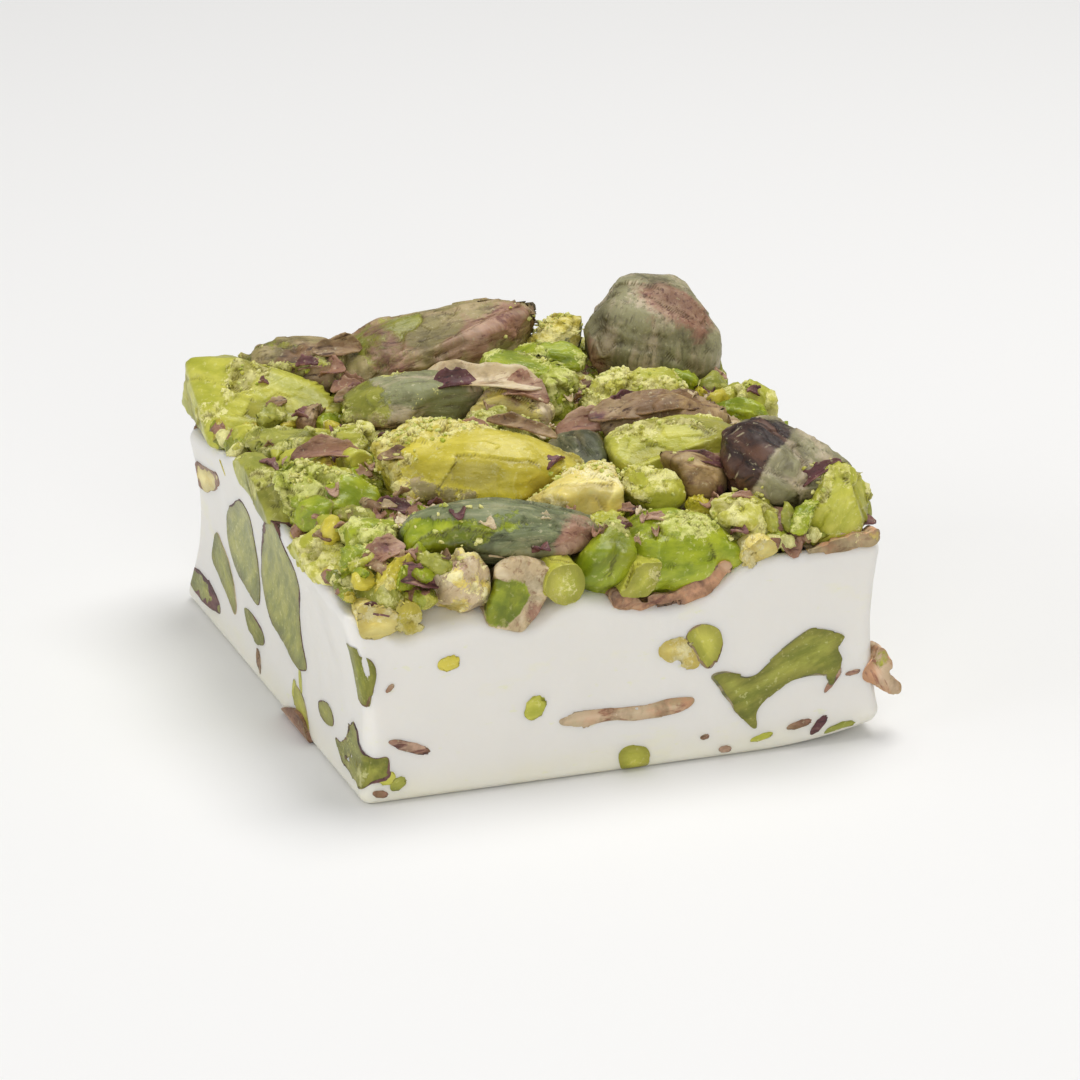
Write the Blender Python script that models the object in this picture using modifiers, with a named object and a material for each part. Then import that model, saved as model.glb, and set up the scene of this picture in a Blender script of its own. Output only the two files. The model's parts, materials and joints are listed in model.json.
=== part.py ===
"""A square of white nougat under a crust of broken pistachios.

The nougat is one soft block with four knife-cut sides. Pistachios are sunk in it and cut flush
where they meet a side. On top lies a bed of fine pistachio chips, and the larger kernels and
chunks sit in pockets in that bed.

Frame: +X runs along the front cut, +Y towards the back, +Z up. The origin is the middle of the
flat underside.
"""

import math
from collections import namedtuple

import bmesh
import bpy
import numpy as np
from mathutils import Euler, Matrix, Vector, noise

MM = 0.001

# ---- Driving dimensions ------------------------------------------------------------------------

BAR_WIDTH = 42 * MM
BAR_DEPTH = 44.8 * MM
SIDE_HEIGHT = 16 * MM
EDGE_ROUND = 0.7 * MM
GAP = 0.3 * MM

# Heights in millimetres over the bar, left to right, from the front row to the back row.
NOUGAT_TOP = (
    (15.8, 14.3, 14.8, 16.0, 16.2),
    (15.7, 14.4, 14.2, 14.6, 15.8),
    (16.6, 14.4, 14.0, 14.4, 15.6),
    (16.6, 14.6, 14.2, 14.6, 15.8),
    (14.8, 15.4, 15.8, 15.6, 15.8),
)
BED_TOP = ((16.4, 15.8, 17.2), (17.2, 17.8, 17.4), (17.2, 18.2, 17.6))
BED_INSET = 0.8 * MM
SWELL = 0.3 * MM

# How far the soft sides are drawn in half-way up.
WAIST = {"left": 1.2 * MM, "right": 0.95 * MM, "front": 0.25 * MM, "back": 0.6 * MM}
# How far the front corners stray along X from an upright box, as (left, right).
FOOT_SHIFT = (0.85 * MM, 0.4 * MM)
HEAD_SHIFT = (-0.6 * MM, -0.1 * MM)
# The underside curls up towards the front right corner.
CURL_RISE = 1.4 * MM
CURL_REACH = 11 * MM

# The nuts stand this proud of the cut sides.
NUT_PROUD = 0.15 * MM

GRID_CUTS = 6
SMALL_NUT = 8.0
DIRECTIONS = 400

SKIN = "pistachio_skin"
GREEN = "green_flesh"
YELLOW = "yellow_flesh"

WHOLE = "whole"
HALF = "half"
CHUNK = "chunk"

Nut = namedtuple("Nut", "name form colour centre size turn")

# ---- The pistachios ----------------------------------------------------------------------------
# centre and size (length, width, height) are in millimetres. turn is (heading of the long axis
# from +X, nose up, roll about the long axis) in degrees. A nut gives way to those before it.

TOP_NUTS = [
    Nut("standing_kernel", WHOLE, SKIN, (16.3, 15.1, 20.2), (11.3, 9.0, 9.4), (-35, -10, 10)),
    Nut("split_yellow_kernel", WHOLE, YELLOW, (-6.3, -6.5, 19.3), (17.0, 9.0, 7.0), (-25, 0, 8)),
    Nut("long_back_kernel", WHOLE, SKIN, (-0.9, 18.8, 19.9), (18.2, 7.6, 6.6), (6, 11, 0)),
    Nut("front_dark_kernel", WHOLE, SKIN, (-7.8, -17.7, 18.3), (14.2, 6.6, 4.6), (-11, -1, -8)),
    Nut("corner_wedge", HALF, YELLOW, (-16.6, 14.7, 18.2), (14.0, 7.2, 6.0), (-12, 2, 70)),
    Nut("left_edge_sliver", WHOLE, GREEN, (-20.2, 0.2, 16.8), (11.0, 3.2, 2.8), (-90, -8, 0)),
    Nut("blackened_kernel", WHOLE, SKIN, (15.9, -14.1, 19.5), (9.0, 7.6, 6.2), (-60, -14, 0)),
    Nut("pale_green_kernel", WHOLE, GREEN, (10.3, -7.1, 19.0), (11.8, 7.2, 5.2), (-10, 0, 0)),
    Nut("crumbly_left_chunk", CHUNK, GREEN, (-18.0, -5.2, 17.8), (11.0, 6.6, 6.6), (-24, -2, 30)),
    Nut("front_green_kernel", WHOLE, GREEN, (5.1, -19.3, 15.7), (9.2, 6.6, 7.0), (-13, 0, 0)),
    Nut("right_corner_chunk", CHUNK, GREEN, (17.8, -19.8, 18.2), (7.8, 5.2, 5.8), (-50, 60, 0)),
    Nut("round_green_kernel", WHOLE, GREEN, (-0.6, -19.6, 16.6), (6.0, 5.2, 6.6), (-30, 0, 0)),
    Nut("streaked_kernel", WHOLE, SKIN, (-5.9, 8.7, 19.3), (12.0, 6.0, 4.7), (-9, 4, 0)),
    Nut("pale_cube", CHUNK, YELLOW, (0.0, -12.9, 18.9), (7.0, 5.2, 4.5), (-8, 4, 0)),
    Nut("pale_green_block", CHUNK, GREEN, (5.1, -13.1, 18.8), (6.0, 5.4, 5.1), (-45, 0, 0)),
    Nut("tan_kernel", WHOLE, SKIN, (8.4, -12.2, 18.8), (8.4, 4.8, 4.6), (14, 0, -20)),
    Nut("crumbly_back_chunk", CHUNK, GREEN, (10.6, 5.5, 19.7), (9.8, 5.6, 4.4), (-13, 0, 0)),
    Nut("wrinkled_kernel", WHOLE, SKIN, (11.2, -0.6, 19.2), (10.4, 3.8, 3.4), (-4, 0, 0)),
    Nut("bright_back_chunk", CHUNK, GREEN, (3.9, 10.4, 20.1), (8.6, 4.8, 4.0), (-30, 0, 0)),
    Nut("bright_back_flake", CHUNK, GREEN, (5.9, 13.9, 19.9), (7.6, 4.6, 3.6), (-18, 0, 0)),
    Nut("bright_middle_chunk", CHUNK, GREEN, (4.9, 6.1, 19.5), (5.4, 4.8, 3.8), (40, 0, 0)),
    Nut("yellow_back_kernel", CHUNK, YELLOW, (9.0, 18.8, 18.9), (7.8, 6.0, 6.0), (-10, 0, 0)),
    Nut("dark_middle_kernel", WHOLE, SKIN, (3.5, -5.1, 18.2), (5.4, 4.8, 5.0), (-65, 0, 0)),
    Nut("beige_kernel", WHOLE, SKIN, (0.5, 5.3, 19.1), (7.0, 5.0, 4.2), (-30, 0, 0)),
    Nut("brown_back_kernel", WHOLE, SKIN, (-12.2, 19.0, 19.4), (8.8, 5.4, 5.2), (-4, 0, 0)),
    Nut("right_back_chunk", CHUNK, GREEN, (19.9, 3.1, 17.7), (6.4, 4.0, 5.2), (-68, 0, 0)),
    Nut("small_green_chunk", CHUNK, GREEN, (-0.3, 0.7, 19.0), (6.8, 4.6, 4.2), (-23, 0, 0)),
    Nut("left_crumbly_chunk", CHUNK, GREEN, (-16.8, 6.7, 18.0), (8.4, 5.6, 4.2), (-20, 0, 0)),
    Nut("left_small_chunk", CHUNK, YELLOW, (-12.6, 4.1, 19.2), (3.7, 3.6, 3.0), (10, 0, 0)),
    Nut("left_front_chunk", CHUNK, YELLOW, (-19.8, -12.0, 15.8), (8.6, 5.0, 4.8), (-80, 0, 0)),
    Nut("green_front_chunk", CHUNK, GREEN, (-16.2, -15.1, 18.1), (5.6, 4.4, 3.7), (-10, 0, 0)),
    Nut("green_front_cube", CHUNK, GREEN, (-18.0, -20.3, 16.1), (3.9, 4.0, 4.4), (-20, 0, 0)),
    Nut("beige_front_tip", WHOLE, SKIN, (-11.6, -20.1, 16.3), (4.6, 4.8, 4.8), (-20, 0, 0)),
    Nut("cut_front_kernel", WHOLE, GREEN, (-8.0, -20.5, 15.5), (8.0, 5.2, 7.0), (82, 0, 0)),
    Nut("pale_right_chunk", CHUNK, GREEN, (11.0, -18.5, 18.0), (3.9, 4.4, 4.4), (-20, 0, 0)),
]

SIDE_NUTS = [
    Nut("left_rimmed_chip", WHOLE, SKIN, (-19.5, 17.8, 11.7), (9.0, 3.0, 2.5), (-90, 21, 0)),
    Nut("left_green_oval", WHOLE, GREEN, (-19.0, 8.7, 8.9), (10.9, 4.8, 8.6), (-90, 42, 0)),
    Nut("left_long_streak", WHOLE, GREEN, (-19.5, 13.9, 5.0), (9.6, 3.0, 2.7), (-90, -24, 0)),
    Nut("left_low_kernel", WHOLE, SKIN, (-19.9, 18.1, 2.3), (10.1, 3.4, 1.8), (-90, -1, 0)),
    Nut("left_big_kernel", WHOLE, GREEN, (-18.8, -3.3, 9.8), (15.0, 5.4, 10.6), (-90, 49, 0)),
    Nut("left_small_kernel", WHOLE, GREEN, (-19.6, 5.7, 3.9), (6.0, 2.6, 1.7), (-90, -9, 0)),
    Nut("left_bottom_chip", WHOLE, SKIN, (-20.3, -7.8, 0.6), (5.6, 3.0, 2.2), (-90, 4, 0)),
    Nut("left_bottom_streak", WHOLE, YELLOW, (-19.9, -8.0, 3.4), (4.8, 2.6, 1.7), (-90, -27, 0)),
    Nut("left_corner_chip", WHOLE, GREEN, (-19.5, -12.8, 3.6), (3.8, 2.6, 1.8), (-90, -7, 0)),
    Nut("front_corner_kernel", WHOLE, GREEN, (-20.0, -21.8, 10.3), (4.9, 3.0, 2.4), (0, -71, 0)),
    Nut("front_foot_kernel", WHOLE, GREEN, (-20.6, -20.2, 3.8), (7.4, 3.6, 3.0), (-80, -42, 0)),
    Nut("front_bow_kernel", WHOLE, GREEN, (12.4, -21.3, 6.1), (12.4, 4.4, 4.7), (0, 26, 0)),
    Nut("front_yellow_pair", CHUNK, YELLOW, (4.8, -21.4, 9.3), (3.8, 3.2, 3.0), (0, -4, 0)),
    Nut("front_green_flake", WHOLE, GREEN, (7.1, -21.8, 9.1), (3.5, 2.2, 1.7), (0, -74, 0)),
    Nut("front_low_chip", CHUNK, GREEN, (1.2, -21.6, 1.0), (3.0, 3.0, 2.4), (0, -10, 0)),
    Nut("front_skin_streak", WHOLE, SKIN, (0.6, -22.0, 4.8), (10.8, 1.8, 1.2), (0, -1, 0)),
    Nut("right_corner_skin", WHOLE, SKIN, (20.5, -21.6, 4.6), (4.4, 2.4, 1.8), (0, -56, 0)),
    Nut("right_tall_kernel", WHOLE, GREEN, (19.4, -8.2, 9.0), (10.4, 4.6, 4.6), (90, 38, 0)),
    Nut("right_low_kernel", WHOLE, GREEN, (19.6, 5.0, 4.8), (8.4, 3.8, 3.4), (90, -16, 0)),
    Nut("right_dark_kernel", WHOLE, SKIN, (19.5, 14.0, 9.8), (9.0, 4.4, 4.0), (90, 52, 0)),
    Nut("back_green_oval", WHOLE, GREEN, (-11.6, 20.9, 8.8), (10.2, 4.4, 4.8), (0, -42, 0)),
    Nut("back_long_streak", WHOLE, GREEN, (1.8, 21.2, 5.0), (11.4, 3.6, 3.2), (0, 20, 0)),
    Nut("back_dark_kernel", WHOLE, SKIN, (12.4, 21.0, 9.6), (8.4, 4.2, 4.2), (0, 48, 0)),
]

COLOURS = {
    "nougat": (0.86, 0.84, 0.80),
    "chip_bed": (0.38, 0.45, 0.10),
    SKIN: (0.24, 0.20, 0.13),
    GREEN: (0.32, 0.45, 0.08),
    YELLOW: (0.62, 0.60, 0.18),
}
ROUGHNESS = {"nougat": 0.5, "chip_bed": 0.8, SKIN: 0.45, GREEN: 0.55, YELLOW: 0.65}


# ---- Scene helpers -----------------------------------------------------------------------------


def clear_scene():
    for obj in list(bpy.data.objects):
        bpy.data.objects.remove(obj, do_unlink=True)


def new_collection(name, hidden=False):
    collection = bpy.data.collections.new(name)
    collection.hide_render = hidden
    bpy.context.scene.collection.children.link(collection)
    return collection


def food_material(name):
    material = bpy.data.materials.new(name)
    material.use_nodes = True
    shader = material.node_tree.nodes["Principled BSDF"]
    shader.inputs["Base Color"].default_value = (*COLOURS[name], 1.0)
    shader.inputs["Roughness"].default_value = ROUGHNESS[name]
    shader.inputs["Metallic"].default_value = 0.0
    return material


def add_object(name, bm, collection, material=None):
    """Stores bm as an object. Without a material the object is a cutter."""
    mesh = bpy.data.meshes.new(name)
    bm.to_mesh(mesh)
    bm.free()
    obj = bpy.data.objects.new(name, mesh)
    collection.objects.link(obj)
    if material:
        mesh.materials.append(material)
    else:
        obj.hide_render = True
        obj.display_type = "WIRE"
    return obj


def boolean(obj, operation, cutter):
    """Cuts obj with an object, or with every object of a collection."""
    modifier = obj.modifiers.new(operation.title(), "BOOLEAN")
    modifier.operation = operation
    modifier.solver = "EXACT"
    if isinstance(cutter, bpy.types.Collection):
        modifier.operand_type = "COLLECTION"
        modifier.collection = cutter
    else:
        modifier.object = cutter


def islands(bm):
    """Groups of connected vertices."""
    groups = []
    unseen = set(bm.verts)
    while unseen:
        group = {unseen.pop()}
        frontier = list(group)
        while frontier:
            vert = frontier.pop()
            near = {edge.other_vert(vert) for edge in vert.link_edges} - group
            group |= near
            frontier.extend(near)
        unseen -= group
        groups.append(group)
    return groups


def keep_one_piece(obj):
    """Applies obj's modifiers and drops the crumbs that the cuts have left loose."""
    graph = bpy.context.evaluated_depsgraph_get()
    mesh = bpy.data.meshes.new_from_object(obj.evaluated_get(graph))
    obj.modifiers.clear()
    obj.data = mesh
    bm = bmesh.new()
    bm.from_mesh(mesh)
    body = max(islands(bm), key=len)
    bmesh.ops.delete(bm, geom=[vert for vert in bm.verts if vert not in body], context="VERTS")
    bm.to_mesh(mesh)
    bm.free()


# ---- The block ---------------------------------------------------------------------------------


def smooth(t):
    return t * t * (3 - 2 * t)


def spread(heights, u, v):
    """Height at (u, v), both -1 to 1, in a square table of millimetre heights."""
    steps = len(heights) - 1
    column, row = (steps * min((w + 1) / 2, 0.9999) for w in (u, v))
    i, j = int(column), int(row)
    s, t = smooth(column - i), smooth(row - j)
    front = heights[j][i] * (1 - s) + heights[j][i + 1] * s
    back = heights[j + 1][i] * (1 - s) + heights[j + 1][i + 1] * s
    return (front * (1 - t) + back * t) * MM


def nougat_top(u, v):
    return spread(NOUGAT_TOP, u, v) + SWELL * noise.noise(Vector((3 * u, 3 * v, 0.5)))


def bed_seat(u, v):
    return nougat_top(u, v) + GAP


def bed_floor(u, v):
    return nougat_top(u, v) - 1 * MM


def bed_top(u, v):
    return spread(BED_TOP, u, v) + 2 * SWELL * noise.noise(Vector((5 * u, 5 * v, 4.5)))


def above(u, v):
    return 28 * MM


def below(u, v):
    return -2 * MM


def ground(u, v):
    """Height of the underside, which is flat but for the curled corner."""
    right, behind = (1 - u) * BAR_WIDTH / 2, (1 + v) * BAR_DEPTH / 2
    near = max(0.0, 1 - math.hypot(right, behind) / CURL_REACH)
    return CURL_RISE * near * near


def outline(u, v, z):
    """Where the point at (u, v) across the bar lies at height z."""
    level = min(max(z / SIDE_HEIGHT, 0.0), 1.0)
    left, right, front = (1 - u) / 2, (1 + u) / 2, (1 - v) / 2
    foot = left * FOOT_SHIFT[0] + right * FOOT_SHIFT[1]
    head = left * HEAD_SHIFT[0] + right * HEAD_SHIFT[1]
    drawn_in = math.sin(math.pi * level)
    x = u * BAR_WIDTH / 2 + front * (foot * (1 - level) + head * level)
    x += drawn_in * (WAIST["left"] * max(-u, 0.0) ** 2 - WAIST["right"] * max(u, 0.0) ** 2)
    y = v * BAR_DEPTH / 2
    y += drawn_in * (WAIST["front"] * max(-v, 0.0) ** 2 - WAIST["back"] * max(v, 0.0) ** 2)
    return x, y


def slab(low, high, margin=0.0):
    """The bar's shape between two heights, each a function of (u, v)."""
    bm = bmesh.new()
    bmesh.ops.create_cube(bm, size=2)
    bmesh.ops.subdivide_edges(bm, edges=bm.edges[:], cuts=GRID_CUTS - 1, use_grid_fill=True)
    stretch_x, stretch_y = 1 + 2 * margin / BAR_WIDTH, 1 + 2 * margin / BAR_DEPTH
    for vert in bm.verts:
        u, v = vert.co.x, vert.co.y
        level = (vert.co.z + 1) / 2
        z = low(u, v) * (1 - level) + high(u, v) * level
        x, y = outline(u, v, z)
        vert.co = (x * stretch_x, y * stretch_y, z)
    return bm


# ---- The nuts ----------------------------------------------------------------------------------


def kernel(size, fine):
    """A pistachio kernel along X: a three-sided egg with a flattened belly."""
    bm = bmesh.new()
    segments, rings = (8, 6) if fine else (7, 4)
    bmesh.ops.create_uvsphere(bm, u_segments=segments, v_segments=rings, radius=1)
    bmesh.ops.rotate(bm, verts=bm.verts, matrix=Matrix.Rotation(math.pi / 2, 3, "Y"))
    for vert in bm.verts:
        along, across, up = vert.co
        taper = 1 - 0.12 * along - 0.08 * along * along
        ridge = 1 + 0.05 * math.cos(3 * math.atan2(up, across) - math.pi / 2)
        vert.co.y *= taper * ridge
        vert.co.z *= taper * ridge
        vert.co = Vector(a * b for a, b in zip(vert.co, size)) / 2
    return bm


def slice_off(bm, normal, reach):
    """Removes what lies further than reach along normal, and closes the cut."""
    bmesh.ops.bisect_plane(
        bm,
        geom=bm.verts[:] + bm.edges[:] + bm.faces[:],
        dist=1e-7,
        plane_co=normal * reach,
        plane_no=normal,
        clear_outer=True,
    )
    rim = [edge for edge in bm.edges if edge.is_boundary]
    if rim:
        bmesh.ops.holes_fill(bm, edges=rim, sides=0)


# Rough directions of the faces along which a chunk has broken.
CLEAVAGES = ((1, 0, 0.1), (-1, 0.1, 0), (0.1, 1, 0.7), (0, -0.9, 0.6), (0.2, 0.1, 1))


def wander(place):
    """A vector that varies smoothly with place."""
    return Vector([noise.noise(place + Vector((0, 0, step))) for step in (0.0, 7.3, 15.1)])


def break_up(bm, size, grown, seed):
    """Cleaves a kernel into a chunk with a few fresh flat faces."""
    for index, cleavage in enumerate(CLEAVAGES):
        place = Vector((2.3 * seed + 0.4, 3.1 * index + 0.7, 0.5))
        normal = (Vector(cleavage) + 0.7 * wander(place)).normalized()
        extent = Vector(a * b for a, b in zip(normal, size)).length / 2
        slice_off(bm, normal, extent * (0.8 + 0.12 * noise.noise(place * 1.7)) + grown)


def shape_nut(nut, seed, grown=0.0):
    """The nut in its place, grown by a margin all round."""
    size = Vector(nut.size) * MM
    bm = kernel(size + Vector((2, 2, 2)) * grown, max(nut.size) > SMALL_NUT)
    if nut.form == HALF:
        slice_off(bm, Vector((0, 0, 1)), 0.06 * size.z + grown)
    if nut.form == CHUNK:
        break_up(bm, size, grown, seed)
    heading, nose_up, roll = (math.radians(angle) for angle in nut.turn)
    place = Matrix.Translation(Vector(nut.centre) * MM)
    turn = Euler((roll, -nose_up, heading), "XYZ").to_matrix().to_4x4()
    bmesh.ops.transform(bm, matrix=place @ turn, verts=bm.verts)
    return bm


def spiral_directions(count):
    """Unit vectors spread evenly over a sphere."""
    index = np.arange(count) + 0.5
    rise = 1 - 2 * index / count
    angle = math.pi * (1 + math.sqrt(5)) * index
    ring = np.sqrt(1 - rise * rise)
    return np.stack([ring * np.cos(angle), ring * np.sin(angle), rise], axis=1)


def corners(bm):
    return np.array([vert.co[:] for vert in bm.verts])


def part_ways(bm, neighbours, directions):
    """Slices bm back to a clear gap from every neighbour, along the plane that takes least."""
    for neighbour in neighbours:
        room = (corners(bm) @ directions.T).min(axis=0) - (neighbour @ directions.T).max(axis=0)
        best = int(room.argmax())
        if room[best] < GAP:
            edge_of_neighbour = float((neighbour @ directions[best]).max())
            slice_off(bm, -Vector(directions[best]), -(edge_of_neighbour + GAP))


# ---- Assembly ----------------------------------------------------------------------------------


def build():
    clear_scene()
    bar = new_collection("nougat_bar")
    cutters = new_collection("cutters", hidden=True)
    pockets = new_collection("pockets", hidden=True)
    materials = {name: food_material(name) for name in COLOURS}

    nougat = add_object("nougat", slab(ground, nougat_top), bar, materials["nougat"])
    rounding = nougat.modifiers.new("Rounding", "BEVEL")
    rounding.width = EDGE_ROUND
    rounding.segments = 2
    rounding.angle_limit = math.radians(50)
    bed = slab(bed_floor, bed_top, -BED_INSET)
    chip_bed = add_object("chip_bed", bed, bar, materials["chip_bed"])
    boolean(chip_bed, "DIFFERENCE", add_object("seat", slab(below, bed_seat), cutters))
    sides = add_object("sides", slab(ground, above, NUT_PROUD), cutters)

    directions = spiral_directions(DIRECTIONS)
    placed = []
    for seed, nut in enumerate(TOP_NUTS + SIDE_NUTS):
        bm = shape_nut(nut, seed)
        part_ways(bm, placed, directions)
        placed.append(corners(bm))
        obj = add_object(nut.name, bm, bar, materials[nut.colour])
        boolean(obj, "INTERSECT", sides)
        add_object(nut.name + "_pocket", shape_nut(nut, seed, GAP), pockets)

    for obj in (nougat, chip_bed):
        boolean(obj, "DIFFERENCE", pockets)
        keep_one_piece(obj)


build()
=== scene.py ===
# %% [markdown]
# A square bite of white nougat under a crust of broken pistachios.
#
# The bar is three things: a soft white block with knife-cut sides, about sixty large pistachios and
# chunks of them, and a crust of small chips, papery skin flakes and crumbs that fills the room
# between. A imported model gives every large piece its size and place. This lesson gives each of them
# its real surface, one step at a time.

import json
import math
from collections import namedtuple

import bmesh
import bpy
import numpy as np
from mathutils import Matrix, Vector
from mathutils.bvhtree import BVHTree
from mathutils.kdtree import KDTree

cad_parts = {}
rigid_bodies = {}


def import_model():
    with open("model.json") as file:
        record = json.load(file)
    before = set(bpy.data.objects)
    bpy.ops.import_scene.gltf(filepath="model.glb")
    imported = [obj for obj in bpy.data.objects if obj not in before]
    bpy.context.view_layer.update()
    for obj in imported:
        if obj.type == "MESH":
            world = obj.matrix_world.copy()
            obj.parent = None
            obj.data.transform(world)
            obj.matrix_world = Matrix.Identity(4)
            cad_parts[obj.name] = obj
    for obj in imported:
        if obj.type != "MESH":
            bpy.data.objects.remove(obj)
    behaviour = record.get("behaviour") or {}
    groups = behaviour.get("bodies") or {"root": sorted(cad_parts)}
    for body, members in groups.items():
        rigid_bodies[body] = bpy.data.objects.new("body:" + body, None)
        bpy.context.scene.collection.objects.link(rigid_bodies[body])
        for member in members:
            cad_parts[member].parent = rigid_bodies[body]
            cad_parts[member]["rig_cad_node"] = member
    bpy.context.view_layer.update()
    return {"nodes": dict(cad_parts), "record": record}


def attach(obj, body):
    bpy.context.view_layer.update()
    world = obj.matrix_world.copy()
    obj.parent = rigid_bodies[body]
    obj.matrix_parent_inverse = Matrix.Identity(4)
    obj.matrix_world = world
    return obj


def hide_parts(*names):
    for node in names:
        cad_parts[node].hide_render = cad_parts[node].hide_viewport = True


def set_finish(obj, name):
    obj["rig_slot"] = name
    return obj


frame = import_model()

MM = 0.001

# %% [markdown]
# The camera looks down on the bar from its front left, from almost half a metre away. Such a long
# lens keeps the square sides of a small sweet nearly parallel. It aims a little behind the middle.

# %% The camera
HEADING = math.radians(-19)
RISE = math.radians(21.25)
DISTANCE = 466 * MM
AIM = Vector((2.6, 3.5, 8.8)) * MM

towards_camera = Vector((
    math.sin(HEADING) * math.cos(RISE),
    -math.cos(HEADING) * math.cos(RISE),
    math.sin(RISE),
))
camera = bpy.data.objects.new("camera", bpy.data.cameras.new("camera"))
camera.data.lens = 200
camera.data.sensor_width = 36
camera.location = AIM + DISTANCE * towards_camera
camera.rotation_euler = towards_camera.to_track_quat("Z", "Y").to_euler()
bpy.context.scene.collection.objects.link(camera)
bpy.context.scene.camera = camera
print("camera at", [round(c / MM) for c in camera.location], "mm")

# %% [markdown]
# Sweets are photographed in a light tent: white all round, one large soft lamp above and in front,
# and a weaker one at the side. The world gives the tent, and two area lamps give the direction.

# %% Light and floor
scene = bpy.context.scene
scene.view_settings.view_transform = "Standard"

world = bpy.data.worlds.new("light_tent")
world.use_nodes = True
scene.world = world
tent = world.node_tree.nodes["Background"]
tent.inputs["Color"].default_value = (1.0, 1.0, 1.0, 1.0)
tent.inputs["Strength"].default_value = 0.36


def soft_lamp(name, place, size, power, colour):
    """A square lamp that shines on the bar."""
    lamp = bpy.data.lights.new(name, "AREA")
    lamp.shape = "SQUARE"
    lamp.size = size
    lamp.energy = power
    lamp.color = colour
    obj = bpy.data.objects.new(name, lamp)
    obj.location = place
    obj.rotation_euler = (Vector(place) - AIM).to_track_quat("Z", "Y").to_euler()
    scene.collection.objects.link(obj)
    return obj


soft_lamp("top_lamp", (0.10, 0.05, 0.42), 0.26, 1.15, (1.0, 0.985, 0.96))
soft_lamp("front_lamp", (-0.12, -0.42, 0.20), 0.30, 0.62, (1.0, 0.985, 0.965))
soft_lamp("side_lamp", (-0.42, -0.02, 0.16), 0.30, 0.45, (0.98, 0.99, 1.0))

floor_paint = bpy.data.materials.new("floor")
floor_paint.use_nodes = True
floor_paint.node_tree.nodes["Principled BSDF"].inputs["Base Color"].default_value = (0.9, 0.9, 0.9, 1)
floor_paint.node_tree.nodes["Principled BSDF"].inputs["Roughness"].default_value = 0.9
bm = bmesh.new()
bmesh.ops.create_grid(bm, x_segments=1, y_segments=1, size=3)
floor_mesh = bpy.data.meshes.new("floor")
bm.to_mesh(floor_mesh)
bm.free()
floor = bpy.data.objects.new("floor", floor_mesh)
floor_mesh.materials.append(floor_paint)
scene.collection.objects.link(floor)

# %% [markdown]
# Nothing in food is regular, so every surface below is roughened with noise. Three kinds are enough.
# `waves` is smooth noise: each corner of a lattice has a random height and the space between is
# blended. `shards` is a broken surface of small tilted facets. `grains` is cell noise: it is 1 at random points and falls to 0 between them, which looks
# like the clumped grains of a broken nut. Both work on all points of a mesh at once.

# %% Noise


def lattice(cells, seed):
    """A repeatable random number from 0 to 1 for each lattice cell."""
    x, y, z = (cells[..., axis].astype(np.int64) for axis in range(3))
    mixed = (x * 73856093) ^ (y * 19349663) ^ (z * 83492791) ^ (seed * 2654435761)
    mixed = (mixed ^ (mixed >> 13)) * 1274126177 & 0x7FFFFFFF
    mixed = (mixed ^ (mixed >> 15)) * 668265263 & 0x7FFFFFFF
    return (mixed >> 7 & 0xFFFF) / 65535


CORNERS = np.array([(i, j, k) for i in (0, 1) for j in (0, 1) for k in (0, 1)])
NEIGHBOURS = np.array([(i, j, k) for i in (-1, 0, 1) for j in (-1, 0, 1) for k in (-1, 0, 1)])


def waves(points, size, seed=0, octaves=1):
    """Smooth noise from -1 to 1 whose bumps are about size across."""
    total, weight = 0, 0
    for octave in range(octaves):
        share = 0.5 ** octave
        scaled = points * (2 ** octave / size) + 17.3 * octave
        cell = np.floor(scaled).astype(int)
        part = scaled - cell
        part = part * part * (3 - 2 * part)
        value = 0
        for corner in CORNERS:
            blend = np.prod(np.where(corner, part, 1 - part), axis=1)
            value = value + blend * lattice(cell + corner, seed + octave)
        total = total + share * (2 * value - 1)
        weight += share
    return total / weight


def grains(points, size, seed=0):
    """Cell noise: 1 in the middle of each grain, 0 half a grain away."""
    scaled = points / size
    cell = np.floor(scaled).astype(int)
    nearest = np.full(len(points), 9.0)
    for step in NEIGHBOURS:
        spot = cell + step
        jitter = np.stack([lattice(spot, seed + 11 * axis) for axis in range(3)], axis=1)
        nearest = np.minimum(nearest, ((spot + jitter - scaled) ** 2).sum(axis=1))
    return np.clip(1 - nearest / 0.45, 0, 1)


def shards(points, size, seed=0):
    """Broken noise: flat facets about size across, each tilted its own way, with steps between."""
    scaled = points / size
    cell = np.floor(scaled).astype(int)
    nearest = np.full(len(points), 9.0)
    height = np.zeros(len(points))
    for step in NEIGHBOURS:
        spot = cell + step
        away = scaled - spot - np.stack([lattice(spot, seed + 11 * axis) for axis in range(3)], axis=1)
        tilt = np.stack([lattice(spot, seed + 50 + 11 * axis) for axis in range(3)], axis=1) - 0.5
        facet = lattice(spot, seed + 90) - 0.5 + 1.7 * (away * tilt).sum(axis=1)
        distance = (away ** 2).sum(axis=1)
        height = np.where(distance < nearest, facet, height)
        nearest = np.minimum(nearest, distance)
    return height


def ramp(values, low, high):
    """0 below low, 1 above high, and a smooth rise between."""
    t = np.clip((values - low) / (high - low), 0, 1)
    return t * t * (3 - 2 * t)


sample = np.random.default_rng(1).random((2000, 3)) * 20 * MM
for noise_kind in (waves, grains, shards):
    values = noise_kind(sample, 3 * MM)
    print(noise_kind.__name__, "from", values.min().round(2), "to", values.max().round(2))

# %% [markdown]
# A material is a small network of nodes. Three helpers keep the networks short: one adds a node and
# plugs in its inputs, one mixes two colours, and one does a sum.

# %% Node helpers


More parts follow.
